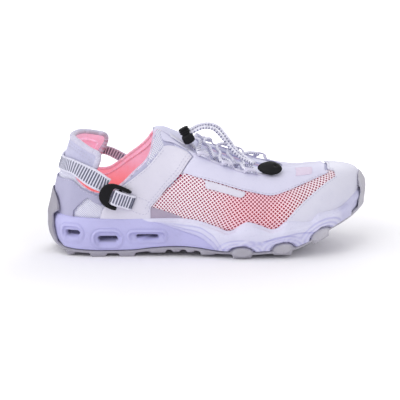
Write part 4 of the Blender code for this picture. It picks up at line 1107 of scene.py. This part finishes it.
CAP_SIDE = [(8.14, 0.43), (7.68, 0.395), (7.24, 0.32), (6.92, 0.245), (6.68, 0.17)]
CAP_FROM = 6.60
CAP = [*smooth(CAP_BACK), *smooth(CAP_SIDE)]
COUNTER_TOP = [(0, 0.50), (0.70, 0.515), (1.20, 0.55), (1.42, 0.545), (1.70, 0.502), (2.36, 0.405)]
COUNTER_ARM, COUNTER_BACK = [(2.42, 0.36), (2.36, 0.27)], [(1.98, 0.385), (1.54, 0.17)]
COUNTER = [*smooth(COUNTER_TOP), *smooth(COUNTER_ARM), *smooth(COUNTER_BACK)]
COUNTER_TO = 1.50
LABEL_EDGE = [
    *smooth([(4.90, 0.522), (5.44, 0.503), (5.94, 0.470)]),
    *smooth([(5.88, 0.435), (5.72, 0.405), (5.30, 0.425), (4.86, 0.44)]),
]


def overlay(name, outline, made, slot, stands_for=(), low=OVERLAY_GAP, thick=OVERLAY,
            fineness=SHEET_FINENESS):
    mesh, _ = lay(outline, at_height(low), at_height(low + thick), fineness)
    piece(mesh, name, made, stands_for, bevel=0.3)


overlay("toe_cap_film", [*CAP, *along_sole(CAP_FROM, ROUNDS - CAP_FROM, 40), *across_toe(CAP)[:-1]],
        CAP_FILM, "overlay_film", ["toe_cap"])
overlay("eyestay_film",
        [*EYESTAY, *across_toe(EYESTAY)[1:], *across_toe(EYESTAY_TOP)[::-1], *EYESTAY_TOP[-2::-1]],
        FILM, "overlay_film", ["eyestay"])
overlay("band_outer", BAND, BAND_FILM, "band_synthetic", ["side_band_outer"])
overlay("band_inner", across_toe(BAND), BAND_FILM, "band_synthetic", ["side_band_inner"])
overlay("counter_film", [*COUNTER, *along_sole(COUNTER_TO, -COUNTER_TO, 30), *across_heel(COUNTER)[:-1]],
        COUNTER_FILM, "overlay_film", ["heel_counter"])
overlay("label_patch", LABEL_EDGE, BAND_FILM, "band_synthetic", ["label_tag"], thick=LABEL, fineness=(6, 20))

# %% [markdown]
# Small trims lie between and on the overlays: a mauve strip of foxing at the foot of the net beside the
# band, a pink vent on the eyestay above the toes, and the webbing that carries the cord lock. They are
# thin and sit close to what carries them.
# %% Trims
STRIP_TOP = [(3.43, 0.22), (3.64, 0.185), (3.84, 0.155), (4.02, 0.13), (4.22, 0.09)]
LOCK_TAB = [(4.36, 0.93), (4.36, 0.985), (4.72, 0.985), (4.72, 0.93)]
VENT = [(7.38, 0.635), (7.72, 0.775), (8.00, 0.69), (7.70, 0.585)]
strip = [*smooth(STRIP_TOP), *along_sole(4.22, 3.44, 8)]
for name, outline in (("foxing_outer", strip), ("foxing_inner", across_toe(strip))):
    overlay(name, outline, STRIP_FILM, "overlay_film", low=0.5, thick=0.5)
on_eyestay = {"low": OVERLAY_GAP + OVERLAY - 0.1, "fineness": (20, 50)}
overlay("toe_vent_outer", VENT, VENT_FILM, "overlay_film", thick=0.25, **on_eyestay)
overlay("lock_tab", LOCK_TAB, STRIPED, "webbing", thick=0.8, **on_eyestay)
overlay("toe_vent_inner", across_toe(VENT), VENT_FILM, "overlay_film", thick=0.25, **on_eyestay)

# %% [markdown]
# Seams hold the overlays down. A printed dash would vanish at an angle, so each stitch is a small bead of
# thread, laid along the surface. All stitches are one mesh, and each has only a few dozen faces.
# %% Stitches
STITCH, STITCH_GAP, STITCH_FIRST, THREAD_RADIUS, THREAD_PRESSED = 1.9, 0.9, 0.5, 0.30, 0.24


def inset_route(route, away):
    """A route moved sideways on the flat cloth: to the left of its direction where away is positive."""
    flat = cloth_mm(*np.array(smooth(route, 6)).T)
    step = unit(np.gradient(flat, axis=0))
    moved = flat + np.column_stack([-step[:, 1], step[:, 0]]) * away
    return moved / (ROUND_MM, RISE_MM)


def sew(mesh, places, height):
    """Adds a row of stitches along places of round and rise, at a height over the upper."""
    round_, rise = places.T
    points, normals = on_upper(round_, rise, height), upper_normal(round_, rise)
    run, size = run_along(points), Matrix.Diagonal((STITCH / 2, THREAD_RADIUS, THREAD_PRESSED, 1))
    for start in np.arange(STITCH_FIRST, run[-1] - STITCH, STITCH + STITCH_GAP):
        ends = (start, start + STITCH)
        first, last = (Vector([np.interp(at, run, part) for part in points.T]) for at in ends)
        up = Vector([np.interp(start, run, part) for part in normals.T]).normalized()
        ahead = (last - first).normalized()
        axes = Matrix((ahead, up.cross(ahead), up)).transposed().to_4x4()
        place_ = Matrix.Translation((first + last) / 2) @ axes @ size
        bmesh.ops.create_uvsphere(mesh, u_segments=6, v_segments=5, radius=1, matrix=place_)


ON_FILM, ON_SHELL = OVERLAY_GAP + OVERLAY + 0.08, 0.12
SEAMS = [
    # route, distances from it, height over the upper
    (BAND_FRONT, (-1.5, -3.6), ON_FILM), (BAND_BACK[1:], (-1.6,), ON_FILM), (EYESTAY_LOW, (1.5,), ON_FILM),
    (CAP_SIDE, (1.5,), ON_FILM), (CAP_BACK, (1.4,), ON_FILM), (COUNTER_TOP, (-1.5,), ON_FILM),
    ([(3.14, 0.36), (3.46, 0.26), (3.36, 0.13), (3.06, 0.20), (3.14, 0.36)], (0,), ON_FILM),
    ([(0.50, 0.955), (1.10, 0.94), (1.50, 0.935), (1.78, 0.92), (1.88, 0.87), (1.84, 0.80)], (-1.0, -3.6),
     ON_SHELL),
]
mesh = bmesh.new()
for route, distances, height in SEAMS:
    for distance in distances:
        places = inset_route(route, distance)
        sew(mesh, places, height)
        sew(mesh, np.column_stack([ROUNDS - places[:, 0], places[:, 1]]), height)
mesh.verts.layers.float_vector.new("cloth")
bmesh.ops.recalc_face_normals(mesh, faces=mesh.faces)
piece(mesh, "seam_stitches", THREAD)

# %% [markdown]
# The heel strap and the tab at the buckle are striped webbing. Straps are modelled directly, as sheets
# of even thickness with ribs across them, and their attribute counts the distance along the strap and
# the share across it, so the stripes bend with the strap and stop short of its edges.
# %% Heel strap
WEBBING = 1.5
STRAP_TOP = smooth([(0, 0.755), (0.54, 0.77), (1.52, 0.81), (2.06, 0.78), (2.54, 0.63)])
STRAP_LOW = smooth([(0, 0.585), (0.80, 0.605), (1.30, 0.62), (1.70, 0.58), (2.16, 0.50), (2.36, 0.455)])
INNER_STRAP_TOP = smooth([(0, 0.755), (0.70, 0.785), (1.40, 0.825), (2.0, 0.82), (2.50, 0.78), (3.42, 0.56)])
INNER_STRAP_LOW = smooth([(0, 0.585), (0.70, 0.625), (1.40, 0.70), (1.96, 0.71), (2.42, 0.66), (3.28, 0.445)])
STRAP_CLIMB = (-2.4, -2.75)
STRAP_FINENESS, STRAP_STEP, RIB = (50, 40), 0.3, 0.14
LOW_LINE = np.array([*across_heel(INNER_STRAP_LOW)[:-1], *STRAP_LOW, (2.54, 0.42)]).T
TOP_LINE = np.array([*across_heel(INNER_STRAP_TOP)[:-1], *STRAP_TOP]).T
RUN_ROUNDS = np.linspace(-3.45, 2.6, 200)


def strap_middle(round_):
    rise = (np.interp(round_, *LOW_LINE) + np.interp(round_, *TOP_LINE)) / 2
    return on_upper(round_, rise, OVERLAY_GAP)


STRAP_RUN = run_along(strap_middle(RUN_ROUNDS))


def strap_run(round_, rise):
    """Millimetres along the strap, so that a stripe lies square across it."""
    ahead = unit(strap_middle(round_ + STRAP_STEP) - strap_middle(round_ - STRAP_STEP))
    aside = on_upper(round_, rise, OVERLAY_GAP) - strap_middle(round_)
    return np.interp(round_, RUN_ROUNDS, STRAP_RUN) + (aside * ahead).sum(axis=1)


def strap_lift(round_):
    share = np.clip((STRAP_CLIMB[0] - round_) / (STRAP_CLIMB[0] - STRAP_CLIMB[1]), 0, 1)
    return OVERLAY_GAP + (OVERLAY + OVERLAY_GAP) * share


def strap_face(round_, rise):
    rib = RIB * np.sin(strap_run(round_, rise) * tau / STRIPE)
    return on_upper(round_, rise, strap_lift(round_) + WEBBING + rib)


outline = [
    *STRAP_TOP, *reversed(STRAP_LOW), *across_heel(INNER_STRAP_LOW)[::-1][1:],
    *across_heel(INNER_STRAP_TOP)[:-1],
]
mesh, _ = lay(
    outline, lambda round_, rise: on_upper(round_, rise, strap_lift(round_)), strap_face, STRAP_FINENESS
)
place, cloth = (mesh.verts.layers.float_vector[name] for name in ("place", "cloth"))
verts = list(mesh.verts)
round_, rise = flat_places(verts, place)
low, top = (np.interp(round_, *line) for line in (LOW_LINE, TOP_LINE))
for vert, run, share in zip(verts, strap_run(round_, rise), (rise - low) / (top - low)):
    vert[cloth] = (run, share, 0)
piece(mesh, "heel_strap_webbing", STRIPED, ["heel_strap"], bevel=0.25)

# %% [markdown]
# The buckle is a hook of moulded plastic that stands flat on the outer side. Its outline is drawn in its
# own axes, forward along the strap, up across it and out from the shoe, then drawn out to a plate,
# rounded, and carried to its place. The tab goes round its bar as a strip.
# %% Buckle and tab
BUCKLE_AT, BUCKLE_TOWARDS = np.array([[2.65, 0.40]]), np.array([[3.20, 0.25]])
BUCKLE_LOW, BUCKLE_HIGH = 3.4, 6.2
BUCKLE_EDGE = [
    *smooth([(12.5, 7.9), (11.6, 9.7), (2, 10.6), (-4.6, 9.7), (-9.8, 6), (-11.6, 0), (-9.8, -6),
             (-4.6, -9.7), (2, -10.6), (6, -9.9)]),
    *smooth([(6, -7.3), (1.5, -7.3), (-1.6, -6.6)]), *smooth([(-2.2, -3.6), (-2.2, 3.6)]),
    *smooth([(-1.6, 6.6), (2, 7.3), (11, 7.0)]),
]
BAR_AT, BAR_REACH, BAR_RADIUS = (3.8, 0, 4.7), 8.8, 1.1
TAB_PATH = [
    (17.5, 2.5), (12, 2.5), (7, 2.5), (2.6, 2.3), (0.7, 3.0), (0.1, 4.7), (0.7, 6.4), (2.6, 7.0), (6, 6.6),
    (11, 4.8), (16, 3.9),
]
TAB_HALF, TAB = 6.3, 1.1


def buckle_frame():
    middle = Vector(upper_point(*BUCKLE_AT.T)[0])
    out_ = Vector(upper_normal(*BUCKLE_AT.T)[0])
    forward = Vector(upper_point(*BUCKLE_TOWARDS.T)[0]) - middle
    forward = (forward - out_ * forward.dot(out_)).normalized()
    return Matrix.Translation(middle) @ Matrix((forward, out_.cross(forward), out_)).transposed().to_4x4()


def drawn_out(mesh, edge, low, high):
    """Adds a flat outline drawn out between two heights."""
    face = mesh.faces.new([mesh.verts.new((*point, low)) for point in edge])
    grown = bmesh.ops.extrude_face_region(mesh, geom=[face], use_keep_orig=True)
    moved = [part for part in grown["geom"] if isinstance(part, bmesh.types.BMVert)]
    bmesh.ops.translate(mesh, vec=(0, 0, high - low), verts=moved)


mesh = bmesh.new()
drawn_out(mesh, BUCKLE_EDGE, BUCKLE_LOW, BUCKLE_HIGH)
bmesh.ops.create_cone(
    mesh, cap_ends=True, segments=16, radius1=BAR_RADIUS, radius2=BAR_RADIUS, depth=2 * BAR_REACH,
    matrix=Matrix.Translation(BAR_AT) @ Matrix.Rotation(pi / 2, 4, "X"),
)
bmesh.ops.recalc_face_normals(mesh, faces=mesh.faces)
bmesh.ops.transform(mesh, matrix=buckle_frame(), verts=mesh.verts)
piece(mesh, "hook_buckle", BLACK, ["buckle"], bevel=0.75, segments=3)

path = np.array(smooth(TAB_PATH, 8))
run = run_along(path)
mesh = bmesh.new()
bmesh.ops.create_grid(mesh, x_segments=len(path) - 1, y_segments=10, size=0.5)
cloth = mesh.verts.layers.float_vector.new("cloth")
for vert in mesh.verts:
    step, share = round((vert.co.x + 0.5) * (len(path) - 1)), vert.co.y
    vert[cloth] = (run[step], share + 0.5, 0)
    vert.co = (path[step][0], share * 2 * TAB_HALF, path[step][1])
bmesh.ops.transform(mesh, matrix=buckle_frame(), verts=mesh.verts)
tab = piece(mesh, "buckle_tab_webbing", STRIPED, ["buckle_tab"])
modify(tab, "webbing", "SOLIDIFY", thickness=TAB * MILLIMETRE, offset=0)

# %% [markdown]
# The tongue is a padded strip of knit that follows the inside of the throat and stands up behind it.
# It is laid like the panels, on a surface that is worked out from the two edges of the throat and
# a crown between them, with its middle fuller than its rim.
# %% Tongue
TONGUE, TONGUE_CLEAR, TONGUE_REACH = 2.6, WALL + 1.6, 1.4
TONGUE_CROWN = [(3.9, 2.5), (4.4, 7), (5.0, 10), (5.6, 6.5), (6.2, 3.5), (7, 2), (8.5, 1)]
TONGUE_FROM, TONGUE_TO, TONGUE_CORNER, TONGUE_STRAIGHT = 3.90, 8.45, 0.15, 0.7
TONGUE_FINENESS, TONGUE_CLOTH, THROAT_BELOW = (14, 12), (27, 21), 0.80


def throat_point(round_, across, lift):
    """Points over the throat: across is -1 at its outer edge and 1 at its inner edge."""
    far = ROUNDS - round_
    edges = ((round_, THROAT_BELOW), (round_, 1.0), (far, 1.0), (far, THROAT_BELOW))
    row = [on_upper(place_, np.full(len(round_), rise), -TONGUE_CLEAR) for place_, rise in edges]
    crown = (row[1] + row[2]) / 2
    crown[:, 2] += along(TONGUE_CROWN, round_)
    stops = np.array([row[0] * 2 - row[1], row[0], row[1], crown, row[2], row[3], row[3] * 2 - row[2]])
    here = np.clip(np.floor(across), -2, 1).astype(int)
    each = np.arange(len(round_))
    point = blend(*(stops[here + 2 + i, each] for i in range(4)), (across - here)[:, None])
    point[:, 2] += lift
    return point


def tongue_surface(depth):
    def place_(round_, across):
        step, still = 0.02, np.zeros(len(round_))
        ahead = throat_point(round_ + step, across, still) - throat_point(round_ - step, across, still)
        aside = throat_point(round_, across + step, still) - throat_point(round_, across - step, still)
        return throat_point(round_, across, still) - unit(np.cross(ahead, aside)) * depth

    return place_


outline = [
    *smooth([(TONGUE_FROM + TONGUE_CORNER, -TONGUE_REACH), (TONGUE_FROM, -TONGUE_STRAIGHT),
             (TONGUE_FROM, TONGUE_STRAIGHT), (TONGUE_FROM + TONGUE_CORNER, TONGUE_REACH)]),
    (TONGUE_TO, TONGUE_REACH), (TONGUE_TO, -TONGUE_REACH),
]
mesh, _ = lay(outline, tongue_surface(TONGUE), tongue_surface(0), TONGUE_FINENESS)
place, cloth = (mesh.verts.layers.float_vector[name] for name in ("place", "cloth"))
for vert in mesh.verts:
    vert[cloth] = (vert[place].x * TONGUE_CLOTH[0], vert[place].y * TONGUE_CLOTH[1], 0)
tongue = piece(mesh, "tongue_pad", TONGUE_KNIT, ["tongue"], bevel=0.8, segments=3)

# %% [markdown]
# The lace runs in zigzags over the tongue and under short loops of tape at both edges of the throat,
# which are sewn to the eyestay in place of eyelets. The cord is one tube along its whole route,
# and the tape is a strip along each edge that rises over the cord at every loop.
# %% Lace and loops
LACE_ROUTE = [
    (5.06, -0.45), (5.20, -0.75), (5.19, -0.98), (5.04, -1.095), (5.32, -1.10), (5.37, -0.95), (5.40, -0.6),
    (5.42, 0.0), (5.28, 0.6), (5.16, 0.95), (5.10, 1.08), (5.38, 1.10), (5.48, 0.9), (5.58, 0.5), (5.72, 0.0),
    (5.86, -0.5), (5.89, -0.85), (5.82, -1.03), (5.70, -1.115), (5.98, -1.125), (6.05, -0.98), (6.06, -0.7),
    (6.08, 0.0), (6.0, 0.6), (5.92, 0.95), (5.90, 1.09), (6.18, 1.11), (6.28, 0.9), (6.38, 0.4), (6.50, -0.2),
    (6.58, -0.7), (6.48, -1.0), (6.29, -1.14), (6.52, -1.15), (6.68, -1.0), (6.76, -0.7), (6.80, 0.0),
    (6.76, 0.6), (6.72, 0.98), (6.66, 1.07), (6.62, 1.15),
]
LACE_PAST, LACE_FLAT = 1.6, 4
LACE_LIFT, LACE_OVER = 2.6, OVERLAY_GAP + OVERLAY + LACE / 2 + 1.1


def lace_points(route):
    round_, across = np.array(route).T
    place_ = np.where(across < 0, round_, ROUNDS - round_)
    past = np.maximum(np.abs(across) - 1, 0)
    share = np.abs(np.clip(across, -1, 1)) ** LACE_FLAT
    over = throat_point(round_, np.clip(across, -1, 1), LACE_LIFT * (1 - share))
    top = np.ones(len(round_))
    over += upper_normal(place_, top) * ((LACE_OVER + TONGUE_CLEAR) * share)[:, None]
    return np.where(past[:, None] > 0, on_upper(place_, 1 - past * LACE_PAST, LACE_OVER), over)


cord = swept(lace_points(smooth(LACE_ROUTE, 6)), LACE / 2, sides=10)
piece(cord, "lace_zigzag", BRAID, ["lace_crossings"])

LOOPS_OUTER, LOOPS_INNER = (5.18, 5.84, 6.40), (5.24, 6.04, 6.62)  # rounds of the loops on each side
TAPE_FROM, TAPE_TO, TAPE_HALF, TAPE_THICK = 4.96, 6.90, 1.7, 0.6
TAPE_BELOW, LOOP_RISE, LOOP_FOOT, LOOP_TOP = 0.012, LACE + 1.4, 0.17, 0.08


def tape_height(round_, loops):
    """Flat on the eyestay between the loops, and over the lace at each of them."""
    away = np.min(np.abs(round_[:, None] - np.array(loops)), axis=1)
    return ON_FILM + LOOP_RISE * soft_step(away, LOOP_FOOT, LOOP_TOP)


def lace_tape(mesh, loops, inner_side):
    """Adds a tape along one edge of the throat, sewn down between its loops. Gives its faces."""
    verts = bmesh.ops.create_grid(mesh, x_segments=150, y_segments=4, size=0.5)["verts"]
    flat = np.array([vert.co for vert in verts])
    round_ = TAPE_FROM + (flat[:, 0] + 0.5) * (TAPE_TO - TAPE_FROM)
    rise = np.interp(round_, *np.array(EYESTAY_TOP).T) - TAPE_BELOW + flat[:, 1] * 2 * TAPE_HALF / RISE_MM
    height = tape_height(round_, loops)
    move_to(verts, on_upper(ROUNDS - round_ if inner_side else round_, rise, height))
    return list({face for vert in verts for face in vert.link_faces})


mesh = bmesh.new()
lace_tape(mesh, LOOPS_OUTER, False)
bmesh.ops.reverse_faces(mesh, faces=lace_tape(mesh, LOOPS_INNER, True))
mesh.verts.layers.float_vector.new("cloth")
tapes = piece(mesh, "lace_tapes", RIM_CLOTH)
modify(tapes, "tape", "SOLIDIFY", thickness=TAPE_THICK * MILLIMETRE, offset=1)

# %% [markdown]
# The cord lock is a turned barrel with a ribbed button, and the keeper is a flat oval bead. A profile of
# a few points is spun round the lock's axis. The keeper is a sphere that is flattened and narrowed to one
# end, with a dimple for the hole through its face and a shallow groove along its edge.
# %% Cord lock and keeper
LOCK_FOOT, LOCK_HEAD = Vector((-13.2, -17.2, 91.6)), Vector((-19.4, -17.7, 104))
LOCK_PROFILE = [  # radius, and height as a share of the lock's length
    (0, 0.0), (3.4, 0.0), (4.5, 0.04), (4.9, 0.14), (4.9, 0.40), (4.5, 0.50), (3.9, 0.54), (3.5, 0.56),
    (3.5, 0.64), (4.4, 0.67), (4.4, 0.72), (4.0, 0.74), (4.0, 0.78), (4.4, 0.80), (4.4, 0.84), (4.0, 0.86),
    (4.0, 0.90), (4.4, 0.92), (4.1, 0.98), (3.2, 1.0), (0, 1.0),
]
mesh = bmesh.new()
length = (LOCK_HEAD - LOCK_FOOT).length
knots = [mesh.verts.new((radius, 0, share * length)) for radius, share in LOCK_PROFILE]
line = [mesh.edges.new(pair) for pair in zip(knots, knots[1:])]
bmesh.ops.spin(
    mesh, geom=[*knots, *line], axis=(0, 0, 1), cent=(0, 0, 0), angle=tau, steps=28, use_merge=True
)
bmesh.ops.remove_doubles(mesh, verts=mesh.verts, dist=1e-3)
bmesh.ops.recalc_face_normals(mesh, faces=mesh.faces)
stand = (LOCK_HEAD - LOCK_FOOT).to_track_quat("Z", "Y").to_matrix().to_4x4()
bmesh.ops.transform(mesh, matrix=Matrix.Translation(LOCK_FOOT) @ stand, verts=mesh.verts)
piece(mesh, "cord_lock_barrel", BLACK, ["cord_lock"], sharp=50)

KEEPER_AT, KEEPER_HALF = Vector((51, -29.3, 71.8)), (10, 6.8, 2.6)
KEEPER_TILT, KEEPER_LEAN, KEEPER_NARROW = 0.05, 0.75, 0.15
DIMPLE_AT, DIMPLE_HALF, DIMPLE_DEPTH = (0.45, 0.2), (0.13, 0.2), 0.45
GROOVE_AT, GROOVE_HALF, GROOVE_DEPTH = 0.25, 0.12, 0.035
mesh = bmesh.new()
bmesh.ops.create_uvsphere(mesh, u_segments=48, v_segments=28, radius=1)
lean = Matrix.Rotation(KEEPER_TILT, 4, "Y") @ Matrix.Rotation(KEEPER_LEAN, 4, "X")
for vert in mesh.verts:
    x, y, z = vert.co
    narrow = 1 + KEEPER_NARROW * min(x, 0)
    near_x, near_y = (ridge(at - middle, half) for at, middle, half in zip((x, y), DIMPLE_AT, DIMPLE_HALF))
    deep = z - DIMPLE_DEPTH * near_x * near_y * (z > 0)
    shaped = Vector((x * KEEPER_HALF[0], y * KEEPER_HALF[1] * narrow, deep * KEEPER_HALF[2]))
    vert.co = KEEPER_AT + lean @ (shaped * (1 - GROOVE_DEPTH * ridge(abs(z) - GROOVE_AT, GROOVE_HALF)))
keeper = piece(mesh, "lace_keeper_bead", BLACK, ["lace_keeper"])

# %% [markdown]
# The studio: a pale floor that fades into a white background, since a glow that only the camera sees
# grows with the distance, and five soft lights. The key and a weaker fill stand in front, one hangs over
# the shoe, one stands low beyond the heel, and one behind lifts the edge of the toe.
# %% Floor and light
FLOOR_FADE, FLOOR_GLOW, FLOOR_REACH = (0.12, 0.5), 0.6, 6
SKY_LIGHT, SKY_SEEN = 0.55, 1.0
LIGHT_AIM = Vector((0, 0, 0.04))
LIGHTS = [
    # name, place, size, power
    ("key", (-0.5, -0.9, 1.1), 0.9, 5),
    ("fill", (0.9, -0.8, 0.7), 0.8, 2.3),
    ("rim", (0.5, 0.9, 0.8), 0.8, 4),
    ("top", (-0.1, 0.1, 1.2), 0.9, 2.2),
    ("heel", (-1.0, -0.3, 0.35), 0.7, 3),
]
floor_look = bpy.data.materials.new("studio_floor")
floor_look.use_nodes = True
tree = floor_look.node_tree
shader = tree.nodes["Principled BSDF"]
shader.inputs["Base Color"].default_value = paint(250, 249, 253)
shader.inputs["Roughness"].default_value = 0.9
spot = put(tree, "ShaderNodeTexCoord").outputs["Object"]
away = put(tree, "ShaderNodeVectorMath", {"operation": "LENGTH"}, in_0=spot).outputs["Value"]
seen = put(tree, "ShaderNodeLightPath").outputs["Is Camera Ray"]
fade = sums(tree, "MULTIPLY", sums(tree, "MULTIPLY", ramped(tree, away, *FLOOR_FADE), FLOOR_GLOW), seen)
shader.inputs["Emission Color"].default_value = (1, 1, 1, 1)
tree.links.new(fade, shader.inputs["Emission Strength"])
mesh = bmesh.new()
bmesh.ops.create_grid(mesh, x_segments=2, y_segments=2, size=FLOOR_REACH)
data = bpy.data.meshes.new("studio_floor")
mesh.to_mesh(data)
mesh.free()
data.materials.append(floor_look)
floor_sheet = placed("studio_floor", data)

world = bpy.data.worlds.new("studio")
world.use_nodes = True
sky = world.node_tree.nodes["Background"]
sky.inputs["Color"].default_value = (1, 1, 1, 1)
seen = put(world.node_tree, "ShaderNodeLightPath").outputs["Is Camera Ray"]
strength = sums(world.node_tree, "MULTIPLY_ADD", seen, SKY_SEEN - SKY_LIGHT, SKY_LIGHT)
world.node_tree.links.new(strength, sky.inputs["Strength"])
bpy.context.scene.world = world
bpy.context.scene.view_settings.view_transform = "Standard"

for name, place, size, power in LIGHTS:
    lamp = placed(name, bpy.data.lights.new(name, "AREA"))
    lamp.data.energy, lamp.data.size = power, size
    lamp.location = place
    lamp.rotation_euler = (LIGHT_AIM - Vector(place)).to_track_quat("-Z", "Y").to_euler()
print("lights:", len(LIGHTS))
